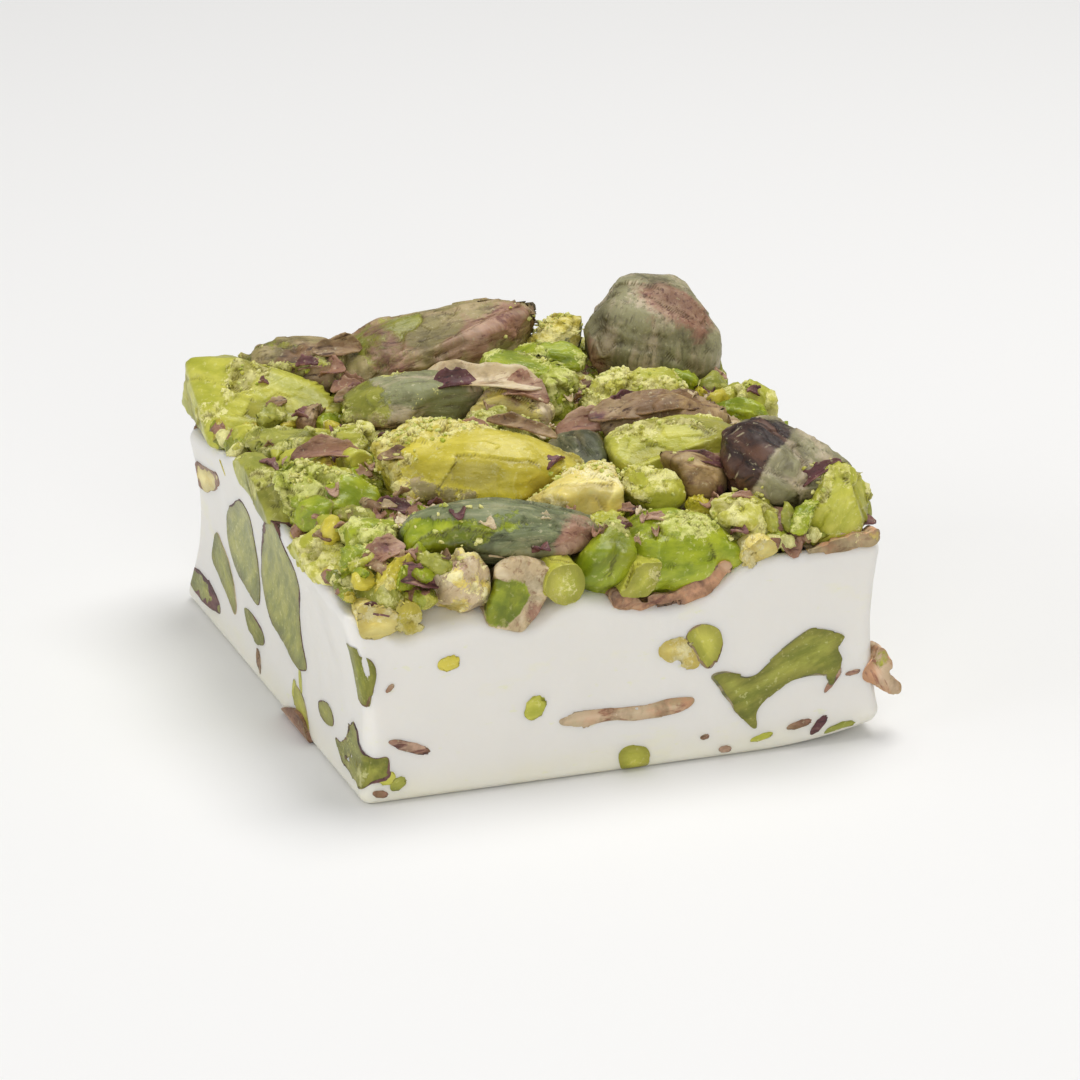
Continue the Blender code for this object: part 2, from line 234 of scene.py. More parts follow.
def node(tree, kind, inputs=None, **settings):
    """Adds a shader node. An input is given a value, or another node's output."""
    new = tree.nodes.new("ShaderNode" + kind)
    for name, value in settings.items():
        setattr(new, name, value)
    for name, value in (inputs or {}).items():
        if isinstance(value, bpy.types.NodeSocket):
            tree.links.new(value, new.inputs[name])
        else:
            new.inputs[name].default_value = value
    return new


def mix(tree, factor, first, second, mode="MIX"):
    """Colour output of a Mix node. Its colour inputs are the seventh and the eighth."""
    inputs = {0: factor, 6: first, 7: second}
    return node(tree, "Mix", inputs, data_type="RGBA", blend_type=mode).outputs[2]


def calc(tree, operation, first, second=0.0, third=0.0):
    return node(tree, "Math", {0: first, 1: second, 2: third}, operation=operation).outputs[0]


def rise(tree, value, low, high):
    """0 below low, 1 above high, and a smooth rise between."""
    inputs = {"Value": value, "From Min": low, "From Max": high}
    return node(tree, "MapRange", inputs, interpolation_type="SMOOTHSTEP").outputs[0]


def noise(tree, place, scale, detail=3.0, roughness=0.55):
    inputs = {"Vector": place, "Scale": scale, "Detail": detail, "Roughness": roughness}
    return node(tree, "TexNoise", inputs).outputs["Fac"]


def stretched(tree, place, scale):
    return node(tree, "Mapping", {"Vector": place, "Scale": scale}).outputs[0]


def new_group(name, inputs, outputs):
    """An empty node group: its tree, its inner inputs, and the node that takes its outputs."""
    tree = bpy.data.node_groups.new(name, "ShaderNodeTree")
    for label, kind in inputs:
        tree.interface.new_socket(label, in_out="INPUT", socket_type="NodeSocket" + kind)
    for label, kind in outputs:
        tree.interface.new_socket(label, in_out="OUTPUT", socket_type="NodeSocket" + kind)
    return tree, tree.nodes.new("NodeGroupInput").outputs, tree.nodes.new("NodeGroupOutput").inputs


def use_group(tree, group, inputs):
    return node(tree, "Group", {**inputs}, node_tree=group).outputs


def rgb(red, green, blue):
    return (red, green, blue, 1.0)


# %% [markdown]
# A pistachio shows four finishes. Its papery skin has long streaks and dark veins that run with the
# grain of the kernel. Its flesh, where it is smooth, is one waxy green with faint mottling. Where it
# has broken it is a crust of pale grains. Between them the borders are torn, never soft. Each finish
# is a node group with its colours as inputs, so every nut can have its own.

# %% Skin
SOCKETS_OUT = [("Color", "Color"), ("Height", "Float")]

skin_tones, skin_in, skin_out = new_group(
    "skin_tones",
    [("Grain", "Vector"), ("Base", "Color"), ("Streak", "Color"), ("Vein", "Color")],
    SOCKETS_OUT,
)
broad = noise(skin_tones, stretched(skin_tones, skin_in["Grain"], (160, 620, 620)), 1.0, 4.0, 0.6)
fine = noise(skin_tones, stretched(skin_tones, skin_in["Grain"], (420, 2400, 2400)), 1.0, 5.0, 0.65)
blotch = noise(skin_tones, skin_in["Grain"], 420.0, 4.0, 0.65)
streaked = mix(skin_tones, rise(skin_tones, broad, 0.44, 0.64), skin_in["Base"], skin_in["Streak"])
veined = mix(skin_tones, rise(skin_tones, fine, 0.47, 0.34), streaked, skin_in["Vein"])
shaded = mix(skin_tones, rise(skin_tones, blotch, 0.52, 0.34), veined, rgb(0.62, 0.60, 0.56), "MULTIPLY")
dust = noise(skin_tones, skin_in["Grain"], 3000.0, 3.0, 0.6)
dusty = calc(skin_tones, "MULTIPLY", rise(skin_tones, dust, 0.60, 0.72), 0.45)
shaded = mix(skin_tones, dusty, shaded, rgb(0.66, 0.60, 0.38))
skin_tones.links.new(shaded, skin_out["Color"])
skin_tones.links.new(calc(skin_tones, "MULTIPLY_ADD", broad, 0.5, fine), skin_out["Height"])

# %% Smooth flesh
flesh_tones, flesh_in, flesh_out = new_group(
    "flesh_tones",
    [("Grain", "Vector"), ("Deep", "Color"), ("Light", "Color")],
    SOCKETS_OUT,
)
cloud = noise(flesh_tones, stretched(flesh_tones, flesh_in["Grain"], (300, 800, 800)), 1.0, 5.0, 0.62)
fibre = noise(flesh_tones, stretched(flesh_tones, flesh_in["Grain"], (900, 3600, 3600)), 1.0, 3.0, 0.6)
tinted = mix(flesh_tones, rise(flesh_tones, cloud, 0.34, 0.66), flesh_in["Deep"], flesh_in["Light"])
fibred = mix(flesh_tones, rise(flesh_tones, fibre, 0.56, 0.76), tinted, rgb(1.18, 1.16, 1.10), "MULTIPLY")
grit = noise(flesh_tones, flesh_in["Grain"], 2600.0, 3.0, 0.6)
gritty = calc(flesh_tones, "MULTIPLY", rise(flesh_tones, grit, 0.58, 0.70), 0.4)
fibred = mix(flesh_tones, gritty, fibred, rgb(0.80, 0.78, 0.34))
flesh_tones.links.new(fibred, flesh_out["Color"])
coarse = calc(flesh_tones, "MULTIPLY_ADD", fibre, 0.25, cloud)
flesh_tones.links.new(calc(flesh_tones, "MULTIPLY_ADD", grit, 0.35, coarse), flesh_out["Height"])

# %% Broken flesh
crumb_tones, crumb_in, crumb_out = new_group(
    "crumb_tones",
    [("Place", "Vector"), ("Rich", "Color"), ("Pale", "Color")],
    SOCKETS_OUT,
)
clump = noise(crumb_tones, crumb_in["Place"], 1100.0, 4.0, 0.6)
speck = node(crumb_tones, "TexVoronoi", {"Vector": crumb_in["Place"], "Scale": 3600.0}).outputs["Distance"]
dry = mix(crumb_tones, rise(crumb_tones, clump, 0.36, 0.60), crumb_in["Rich"], crumb_in["Pale"])
dusted = mix(crumb_tones, rise(crumb_tones, speck, 0.34, 0.10), dry, rgb(1.22, 1.20, 1.25), "MULTIPLY")
crumb_tones.links.new(dusted, crumb_out["Color"])
crumb_tones.links.new(calc(crumb_tones, "MULTIPLY_ADD", speck, -0.9, clump), crumb_out["Height"])

# %% Torn borders
torn_edge, torn_in, torn_out = new_group(
    "torn_edge",
    [("Place", "Vector"), ("Mask", "Float"), ("Scale", "Float"), ("Dust", "Float"), ("Soft", "Float")],
    [("Mask", "Float")],
)
ragged = noise(torn_edge, torn_in["Place"], torn_in["Scale"], 5.0, 0.65)
shifted = calc(torn_edge, "MULTIPLY_ADD", calc(torn_edge, "SUBTRACT", ragged, 0.5), 0.45, torn_in["Mask"])
fine = noise(torn_edge, torn_in["Place"], calc(torn_edge, "MULTIPLY", torn_in["Scale"], 3.4), 3.0, 0.6)
shifted = calc(torn_edge, "MULTIPLY_ADD", calc(torn_edge, "SUBTRACT", fine, 0.5), torn_in["Dust"], shifted)
low = calc(torn_edge, "SUBTRACT", 0.5, torn_in["Soft"])
high = calc(torn_edge, "ADD", 0.5, torn_in["Soft"])
torn_edge.links.new(rise(torn_edge, shifted, low, high), torn_out["Mask"])

# %% [markdown]
# Colours are in linear light, where 0.18 is a middle grey. A pistachio is greener outside and
# yellower towards its middle, and its crumbs are the palest of all. The skin ranges from grey-green
# over beige and brown to a purple that is nearly black.

# %% Palettes
Flesh = namedtuple("Flesh", "deep light rich pale")
Skin = namedtuple("Skin", "base streak vein")

FLESH = {
    "bright": Flesh((0.21, 0.28, 0.010), (0.41, 0.47, 0.025), (0.40, 0.44, 0.045), (0.72, 0.73, 0.25)),
    "green": Flesh((0.25, 0.27, 0.03), (0.42, 0.42, 0.07), (0.42, 0.42, 0.07), (0.72, 0.70, 0.28)),
    "lime": Flesh((0.42, 0.43, 0.04), (0.60, 0.58, 0.09), (0.54, 0.52, 0.08), (0.82, 0.78, 0.32)),
    "yellow": Flesh((0.52, 0.44, 0.03), (0.70, 0.60, 0.08), (0.60, 0.50, 0.07), (0.86, 0.78, 0.32)),
    "pale": Flesh((0.76, 0.60, 0.13), (0.90, 0.78, 0.28), (0.80, 0.64, 0.17), (0.95, 0.86, 0.46)),
    "dull": Flesh((0.34, 0.27, 0.11), (0.56, 0.47, 0.24), (0.42, 0.38, 0.12), (0.74, 0.66, 0.34)),
    "cut": Flesh((0.19, 0.21, 0.018), (0.39, 0.39, 0.06), (0.36, 0.37, 0.08), (0.64, 0.63, 0.28)),
}
SKINS = {
    "grey": Skin((0.27, 0.28, 0.13), (0.60, 0.50, 0.34), (0.19, 0.18, 0.09)),
    "dusty": Skin((0.33, 0.31, 0.17), (0.60, 0.50, 0.35), (0.22, 0.20, 0.11)),
    "olive": Skin((0.32, 0.27, 0.10), (0.50, 0.39, 0.21), (0.20, 0.15, 0.06)),
    "deep": Skin((0.19, 0.22, 0.10), (0.42, 0.41, 0.22), (0.10, 0.12, 0.05)),
    "moss": Skin((0.10, 0.11, 0.045), (0.24, 0.22, 0.11), (0.05, 0.055, 0.02)),
    "tan": Skin((0.45, 0.30, 0.13), (0.58, 0.42, 0.21), (0.28, 0.15, 0.07)),
    "brown": Skin((0.26, 0.15, 0.07), (0.50, 0.36, 0.21), (0.09, 0.045, 0.025)),
    "beige": Skin((0.62, 0.48, 0.28), (0.80, 0.68, 0.46), (0.42, 0.27, 0.15)),
    "copper": Skin((0.78, 0.43, 0.25), (0.88, 0.67, 0.47), (0.46, 0.21, 0.13)),
    "rose": Skin((0.36, 0.19, 0.12), (0.55, 0.36, 0.25), (0.18, 0.07, 0.05)),
    "plum": Skin((0.13, 0.045, 0.05), (0.28, 0.13, 0.12), (0.04, 0.014, 0.016)),
    "black": Skin((0.035, 0.016, 0.012), (0.13, 0.06, 0.035), (0.010, 0.005, 0.005)),
}

# %% [markdown]
# One function builds the material of any nut from a flesh, a skin and a second skin for stains. The
# mesh of the nut says where each lies: `skin`, `crumb` and `stain` are masks on its points, one more
# value is painted shade, darker in low spots, creases and seams between nuts, and on a cut face the
# deeper green of its flesh near the rim, and `grain` is its place along and across the kernel.

# %% The nut material
FINE_RELIEF = 0.12 * MM
made_materials = {}


def crushed(tree, place):
    """Colour of a crust of tiny chips: cells that each take one of six colours."""
    cells = node(tree, "TexVoronoi", {"Vector": place, "Scale": 900.0, "Randomness": 1.0})
    dice = node(tree, "SeparateXYZ", {"Vector": cells.outputs["Color"]}).outputs["X"]
    colour = rgb(*FLESH["lime"].rich)
    shades = (FLESH["bright"].rich, FLESH["yellow"].rich, FLESH["green"].deep, SKINS["rose"].base, FLESH["lime"].pale)
    for step, shade in enumerate(shades):
        picked = calc(tree, "GREATER_THAN", dice, 0.18 + 0.16 * step)
        colour = mix(tree, picked, colour, rgb(*shade))
    return colour


def nut_material(flesh, skin, stain):
    name = f"pistachio_{flesh}_{skin}_{stain}"
    if name in made_materials:
        return made_materials[name]
    material = bpy.data.materials.new(name)
    material.use_nodes = True
    tree = material.node_tree
    shader = tree.nodes["Principled BSDF"]
    place = node(tree, "TexCoord").outputs["Object"]
    grain = node(tree, "Attribute", attribute_name="grain").outputs["Vector"]
    masks = {}
    for mask, scale, dust, soft in (("skin", 900.0, 0.3, 0.06), ("crumb", 1100.0, 0.9, 0.06), ("stain", 800.0, 0.5, 0.2)):
        raw = node(tree, "Attribute", attribute_name=mask).outputs["Fac"]
        edge = {"Place": place, "Mask": raw, "Scale": scale, "Dust": dust, "Soft": soft}
        torn = use_group(tree, torn_edge, edge)
        masks[mask] = torn["Mask"]
    body = FLESH[flesh]
    smooth = use_group(
        tree, flesh_tones, {"Grain": grain, "Deep": rgb(*body.deep), "Light": rgb(*body.light)}
    )
    broken = use_group(tree, crumb_tones, {"Place": place, "Rich": rgb(*body.rich), "Pale": rgb(*body.pale)})
    layers = []
    for kind in (SKINS[skin], SKINS[stain]):
        colours = {"Base": rgb(*kind.base), "Streak": rgb(*kind.streak), "Vein": rgb(*kind.vein)}
        layers.append(use_group(tree, skin_tones, {"Grain": grain, **colours}))
    colour = mix(tree, masks["skin"], smooth["Color"], layers[0]["Color"])
    colour = mix(tree, masks["stain"], colour, layers[1]["Color"])
    colour = mix(tree, masks["crumb"], colour, broken["Color"])
    # Painted shade: the colour is multiplied towards dark brown in low spots, creases and seams between nuts. On a cut
    # face the same value gives the deeper green of the flesh near its rim.
    crease_shade_and_rim_green = node(tree, "Attribute", attribute_name="crease_shade_and_rim_green").outputs["Fac"]
    colour = mix(tree, calc(tree, "MINIMUM", crease_shade_and_rim_green, 0.9), colour, rgb(0.30, 0.26, 0.13), "MULTIPLY")
    tree.links.new(colour, shader.inputs["Base Color"])
    papery = calc(tree, "MAXIMUM", masks["skin"], masks["stain"])
    rough = calc(tree, "MULTIPLY_ADD", papery, 0.16, 0.33)
    rough = calc(tree, "MULTIPLY_ADD", masks["crumb"], 0.35, rough)
    tree.links.new(rough, shader.inputs["Roughness"])
    relief = calc(tree, "MULTIPLY", papery, layers[0]["Height"])
    relief = calc(tree, "MULTIPLY_ADD", masks["crumb"], broken["Height"], relief)
    relief = calc(tree, "MULTIPLY_ADD", smooth["Height"], 1.1, relief)
    bump = node(tree, "Bump", {"Height": relief, "Distance": FINE_RELIEF, "Strength": 0.8})
    tree.links.new(bump.outputs["Normal"], shader.inputs["Normal"])
    shader.inputs["Specular IOR Level"].default_value = 0.42
    shader.inputs["Subsurface Weight"].default_value = 0.12
    shader.inputs["Subsurface Radius"].default_value = (1.0, 1.0, 0.25)
    shader.inputs["Subsurface Scale"].default_value = 0.6 * MM
    made_materials[name] = material
    return material


print("palettes:", len(FLESH), "kinds of flesh and", len(SKINS), "kinds of skin")

# %% [markdown]
# Nougat is whipped sugar and egg white: white, slightly see-through at the edges, and satin where
# the knife has polished it. Light that enters comes out a little further on, which subsurface
# scattering does. Faint yellow-green smears lie where the knife has dragged oil from the nuts.

# %% The nougat material
nougat_material = bpy.data.materials.new("white_nougat")
nougat_material.use_nodes = True
tree = nougat_material.node_tree
shader = tree.nodes["Principled BSDF"]
place = node(tree, "TexCoord").outputs["Object"]
drag = stretched(tree, place, (1.0, 1.0, 2.2))
smears = rise(tree, noise(tree, drag, 170.0, 5.0, 0.6), 0.57, 0.72)
flecks = rise(tree, noise(tree, drag, 650.0, 3.0, 0.6), 0.66, 0.74)
height = node(tree, "SeparateXYZ", {"Vector": place}).outputs["Z"]
foot = calc(tree, "MULTIPLY", rise(tree, height, 3.2 * MM, 0.3 * MM), noise(tree, place, 300.0))
white = mix(tree, noise(tree, place, 60.0), rgb(0.80, 0.775, 0.72), rgb(0.84, 0.82, 0.775))
white = mix(tree, calc(tree, "MULTIPLY", smears, 0.35), white, rgb(0.84, 0.82, 0.58))
white = mix(tree, calc(tree, "MULTIPLY", flecks, 0.30), white, rgb(0.78, 0.80, 0.42))
white = mix(tree, calc(tree, "MULTIPLY", foot, 0.6), white, rgb(0.84, 0.80, 0.52))
tree.links.new(white, shader.inputs["Base Color"])
soft = noise(tree, place, 240.0, 5.0, 0.55)
drawn = noise(tree, stretched(tree, place, (260, 260, 1500)), 1.0, 3.0)
relief = calc(tree, "MULTIPLY_ADD", drawn, 0.12, soft)
bump = node(tree, "Bump", {"Height": relief, "Distance": 0.25 * MM, "Strength": 0.5})
tree.links.new(bump.outputs["Normal"], shader.inputs["Normal"])
polish = node(tree, "MapRange", {"Value": soft, "From Min": 0.35, "From Max": 0.65, "To Min": 0.36, "To Max": 0.58})
tree.links.new(polish.outputs[0], shader.inputs["Roughness"])
shader.inputs["Specular IOR Level"].default_value = 0.35
shader.inputs["Subsurface Weight"].default_value = 0.55
shader.inputs["Subsurface Radius"].default_value = (1.0, 0.93, 0.8)
shader.inputs["Subsurface Scale"].default_value = 1.6 * MM

# %% [markdown]
# The block started as a slab that was cut with a knife while it was soft, so its sides are drawn in
# half-way up, its corners lean, and the front right corner of its foot curls up. A plane of the
# block is found from two shares, `u` from left to right and `v` from front to back, both -1 to 1.

# %% The shape of the block
WIDTH, DEPTH, SIDE_HEIGHT = 42 * MM, 44.8 * MM, 16 * MM
WAIST = {"left": 1.2 * MM, "right": 0.95 * MM, "front": 0.25 * MM, "back": 0.6 * MM}
FOOT_SHIFT = (0.85 * MM, 0.4 * MM)
HEAD_SHIFT = (-0.6 * MM, -0.1 * MM)
CURL_RISE, CURL_REACH = 1.4 * MM, 11 * MM


def lean(u, v, z):
    """How far a point of an upright box moves along X and Y to lie on the real block."""
    level = np.clip(z / SIDE_HEIGHT, 0, 1)
    left, right, front = (1 - u) / 2, (1 + u) / 2, (1 - v) / 2
    foot = left * FOOT_SHIFT[0] + right * FOOT_SHIFT[1]
    head = left * HEAD_SHIFT[0] + right * HEAD_SHIFT[1]
    drawn_in = np.sin(math.pi * level)
    x = front * (foot * (1 - level) + head * level)
    x = x + drawn_in * (WAIST["left"] * np.maximum(-u, 0) ** 2 - WAIST["right"] * np.maximum(u, 0) ** 2)
    y = drawn_in * (WAIST["front"] * np.maximum(-v, 0) ** 2 - WAIST["back"] * np.maximum(v, 0) ** 2)
    return x, y


def ground(u, v):
    """Height of the underside: flat but for the curled corner."""
    near = np.clip(1 - np.hypot((1 - u) * WIDTH / 2, (1 + v) * DEPTH / 2) / CURL_REACH, 0, 1)
    return CURL_RISE * near * near


EDGE_RADIUS = 1.1 * MM


def dents(points):
    """Height of the shallow dents in the sides, which fade out at the foot."""
    depth = 0.16 * waves(points, 6 * MM, 3, 2) + 0.05 * waves(points, 1.6 * MM, 5, 2)
    return depth * MM * ramp(points[:, 2], 0.2 * MM, 2.0 * MM)


def proud(points):
    """How far each point lies outside the left, right, front and back sides."""
    x, y, z = points.T
    u, v = np.clip(2 * x / WIDTH, -1, 1), np.clip(2 * y / DEPTH, -1, 1)
    left = lean(-1, v, z)[0] - WIDTH / 2 - x
    right = x - lean(1, v, z)[0] - WIDTH / 2
    front = lean(u, -1, z)[1] - DEPTH / 2 - y
    back = y - lean(u, 1, z)[1] - DEPTH / 2
    below = np.clip(EDGE_RADIUS + ground(u, v) - z, 0, EDGE_RADIUS)
    rounding = EDGE_RADIUS - np.sqrt(EDGE_RADIUS ** 2 - below ** 2)
    return np.stack([left, right, front, back], axis=1) + (rounding - dents(points))[:, None]


RIGHT = 1
OUTWARD = np.array([(-1, 0, 0), (1, 0, 0), (0, -1, 0), (0, 1, 0)])


def trim_to_sides(points, allowance):
    """Moves every point that stands too far outside a side back to it, and to the rounded edges."""
    excess = np.maximum(proud(points) - allowance, 0)
    points = points - excess @ OUTWARD
    outside = proud(points)
    for side, face in ((0, 2), (0, 3), (1, 2), (1, 3)):
        beyond = np.maximum(outside[:, (side, face)] + EDGE_RADIUS, 0)
        reach = np.hypot(*beyond.T)
        excess = np.where(beyond.min(axis=1) > 0, reach - EDGE_RADIUS - np.max(allowance), 0)
        pull = beyond * (np.maximum(excess, 0) / np.maximum(reach, 1e-9))[:, None]
        points = points - pull @ OUTWARD[[side, face]]
    return points


# %% [markdown]
# The line where white meets green wanders up and down all round the bar, because the crust was
# pressed into the warm nougat. Under the crust the top is low and plain, since nobody sees it.

# %% The top of the block
INNER_HEIGHT = 14.4 * MM
BORDER_REACH = 4.0 * MM
# Heights of the white border in millimetres, evenly spaced along each side.
FRONT_BORDER = (15.6, 12.9, 13.4, 14.0, 12.4, 14.7, 13.8, 12.9, 13.4, 16.1, 15.8, 16.2, 16.0)
BACK_BORDER = (14.6, 15.2, 15.6, 15.4, 15.9, 15.6, 15.7)
LEFT_BORDER = (15.7, 15.5, 15.9, 16.5, 16.9, 17.7, 16.5, 15.2, 14.5)
RIGHT_BORDER = (16.0, 15.4, 15.9, 15.5, 15.8, 15.6, 15.7)


def along(heights, share):
    """Height at a share from -1 to 1 along a border."""
    spots = np.linspace(-1, 1, len(heights))
    fine = np.linspace(-1, 1, 8 * len(heights))
    curve = np.interp(fine, spots, heights)
    curve = np.convolve(np.pad(curve, 3, mode="edge"), np.ones(7) / 7, mode="valid")
    return np.interp(share, fine, curve) * MM


def block_top(u, v):
    near = [ramp(1 - d / BORDER_REACH, 0, 1) + 1e-6 for d in (
        (1 + v) * DEPTH / 2, (1 - v) * DEPTH / 2, (1 + u) * WIDTH / 2, (1 - u) * WIDTH / 2)]
    heights = (along(FRONT_BORDER, u), along(BACK_BORDER, u), along(LEFT_BORDER, v), along(RIGHT_BORDER, v))
    border = sum(n * h for n, h in zip(near, heights)) / sum(near)
    strongest = np.max(near, axis=0)
    return border * strongest + INNER_HEIGHT * (1 - strongest)


# %% [markdown]
# The mesh starts as a cube. Loop cuts give it a fine grid, closer towards the edges, where the
# rounding is. Then every point is placed: rounded box first, then the lean, then shallow dents.

# %% The nougat block
CUTS = (96, 100, 44)


def loop_cuts(bm, axis, cuts):
    """Cuts all edges that run along one axis."""
    across = [e for e in bm.edges if abs((e.verts[0].co - e.verts[1].co).normalized()[axis]) > 0.9]
    bmesh.ops.subdivide_edges(bm, edges=across, cuts=cuts, use_grid_fill=True)


def get_points(mesh):
    points = np.empty(3 * len(mesh.vertices), np.float32)
    mesh.vertices.foreach_get("co", points)
    return points.reshape(-1, 3).astype(float)


def set_points(mesh, points):
    mesh.vertices.foreach_set("co", points.astype(np.float32).ravel())
    mesh.update()


def get_normals(mesh):
    normals = np.empty(3 * len(mesh.vertices), np.float32)
    mesh.vertex_normals.foreach_get("vector", normals)
    return normals.reshape(-1, 3).astype(float)


def spread(mesh, values, rounds=1):
    """Replaces each point's value by the mean of its neighbours' values, several times."""
    ends = np.empty(2 * len(mesh.edges), np.int32)
    mesh.edges.foreach_get("vertices", ends)
    first, second = ends.reshape(-1, 2).T
    size = len(mesh.vertices)
    count = np.bincount(ends, minlength=size)
    for _ in range(rounds):
        total = np.bincount(first, values[second], size) + np.bincount(second, values[first], size)
        values = total / count
    return values


def bulge(mesh, rounds):
    """How the surface bends at each point: 1 on the sharpest ridges, -1 in the sharpest creases."""
    points, normals = get_points(mesh), get_normals(mesh)
    middle = np.stack([spread(mesh, points[:, axis]) for axis in range(3)], axis=1)
    bend = spread(mesh, ((points - middle) * normals).sum(axis=1), rounds)
    bend = bend - np.median(bend)
    return np.clip(bend / np.percentile(np.abs(bend), 97), -1, 1)


def place_piece(name, mesh, material, slot, *nodes):
    """Shows a finished mesh as a piece of the object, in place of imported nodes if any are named."""
    obj = bpy.data.objects.new(name, mesh)
    scene.collection.objects.link(obj)
    mesh.materials.clear()
    mesh.materials.append(material)
    mesh.shade_smooth()
    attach(obj, "root")
    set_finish(obj, slot)
    if nodes:
        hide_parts(*nodes)
    return obj


bm = bmesh.new()
bmesh.ops.create_cube(bm, size=2)
for axis, cuts in enumerate(CUTS):
    loop_cuts(bm, axis, cuts)
block_mesh = bpy.data.meshes.new("nougat_block")
bm.to_mesh(block_mesh)
bm.free()

share = get_points(block_mesh)
share = 0.5 * share + 0.5 * np.sin(share * 0.48 * math.pi) / math.sin(0.48 * math.pi)
u, v, w = share.T
low_z, high_z = ground(u, v), block_top(u, v)
box = np.stack([u * WIDTH / 2, v * DEPTH / 2, low_z + (w + 1) / 2 * (high_z - low_z)], axis=1)
inner_low = np.stack([0 * u - WIDTH / 2, 0 * u - DEPTH / 2, low_z], axis=1) + EDGE_RADIUS
inner_high = np.stack([0 * u + WIDTH / 2, 0 * u + DEPTH / 2, high_z], axis=1) - EDGE_RADIUS
inner = np.clip(box, inner_low, inner_high)
outwards = box - inner
length = np.linalg.norm(outwards, axis=1, keepdims=True)
rounded = np.where(length > 0, inner + outwards / np.maximum(length, 1e-9) * np.minimum(length, EDGE_RADIUS), box)
shift_x, shift_y = lean(u, v, rounded[:, 2])
rounded[:, 0] += shift_x
rounded[:, 1] += shift_y
set_points(block_mesh, rounded)
rounded += get_normals(block_mesh) * dents(rounded)[:, None]
set_points(block_mesh, rounded)
place_piece("nougat_block", block_mesh, nougat_material, "nougat", "nougat")
print("block:", len(block_mesh.polygons), "faces, height", round(rounded[:, 2].max() / MM, 1), "mm")

# %% [markdown]
# A packed kernel is a coarse solid with flat facets. A voxel remesh covers it with an even grid, a
# smoothing pass takes off the corners, and one subdivision makes room for grains of a few tenths of
# a millimetre. The kernel then swells by a quarter of a millimetre, so that it meets the nougat and
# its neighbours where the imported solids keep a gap.

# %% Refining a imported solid
VOXEL = 0.30 * MM
SWELL = 0.26 * MM
WELD = 0.001 * MM


def baked(obj):
    """The mesh of an object with its modifiers applied. The object is removed."""
    scene.collection.objects.link(obj)
    graph = bpy.context.evaluated_depsgraph_get()
    mesh = bpy.data.meshes.new_from_object(obj.evaluated_get(graph))
    bpy.data.objects.remove(obj)
    return mesh


def packed_mesh(node_name):
    """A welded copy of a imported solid's mesh."""
    bm = bmesh.new()
    bm.from_mesh(frame["nodes"][node_name].data)
    bmesh.ops.remove_doubles(bm, verts=bm.verts, dist=WELD)
    mesh = bpy.data.meshes.new(node_name + "_coarse")
    bm.to_mesh(mesh)
    bm.free()
    return mesh


def refined(coarse, softening, voxel):
    """A fine, even mesh over a coarse one."""
    obj = bpy.data.objects.new(coarse.name, coarse)
    grid = obj.modifiers.new("grid", "REMESH")
    grid.mode = "VOXEL"
    grid.voxel_size = voxel
    soften = obj.modifiers.new("soften", "SMOOTH")
    soften.factor = 0.5
    soften.iterations = softening
    refine = obj.modifiers.new("refine", "SUBSURF")
    refine.levels = refine.render_levels = 1
    return baked(obj)


def grain_axes(points):
    """The kernel's own axes: along, across, and through its thinnest way."""
    spread = np.cov((points - points.mean(axis=0)).T)
    axes = np.linalg.eigh(spread)[1].T[::-1]
    leading = np.abs(axes).argmax(axis=1)
    return axes * np.sign(axes[np.arange(3), leading])[:, None]


def store(mesh, name, values):
    """Saves one number, or one vector, for every point of the mesh."""
    vector = values.ndim == 2
    attribute = mesh.attributes.new(name, "FLOAT_VECTOR" if vector else "FLOAT", "POINT")
    attribute.data.foreach_set("vector" if vector else "value", values.astype(np.float32).ravel())


# %% [markdown]
# Every nut has a look: its flesh, its skin and the colour of its stains, how much of it the skin and
# the crumbs cover, and how rough it is. `facets` is the number of planes along which it has broken
# flat, `soft` is how much its corners are softened, `across` turns the streaks of its skin, `rim` is
# the width of skin around a cut face, `overhang` how far it may stand out of a side, and `stand` how
# far an inlaid nut does, in mm.

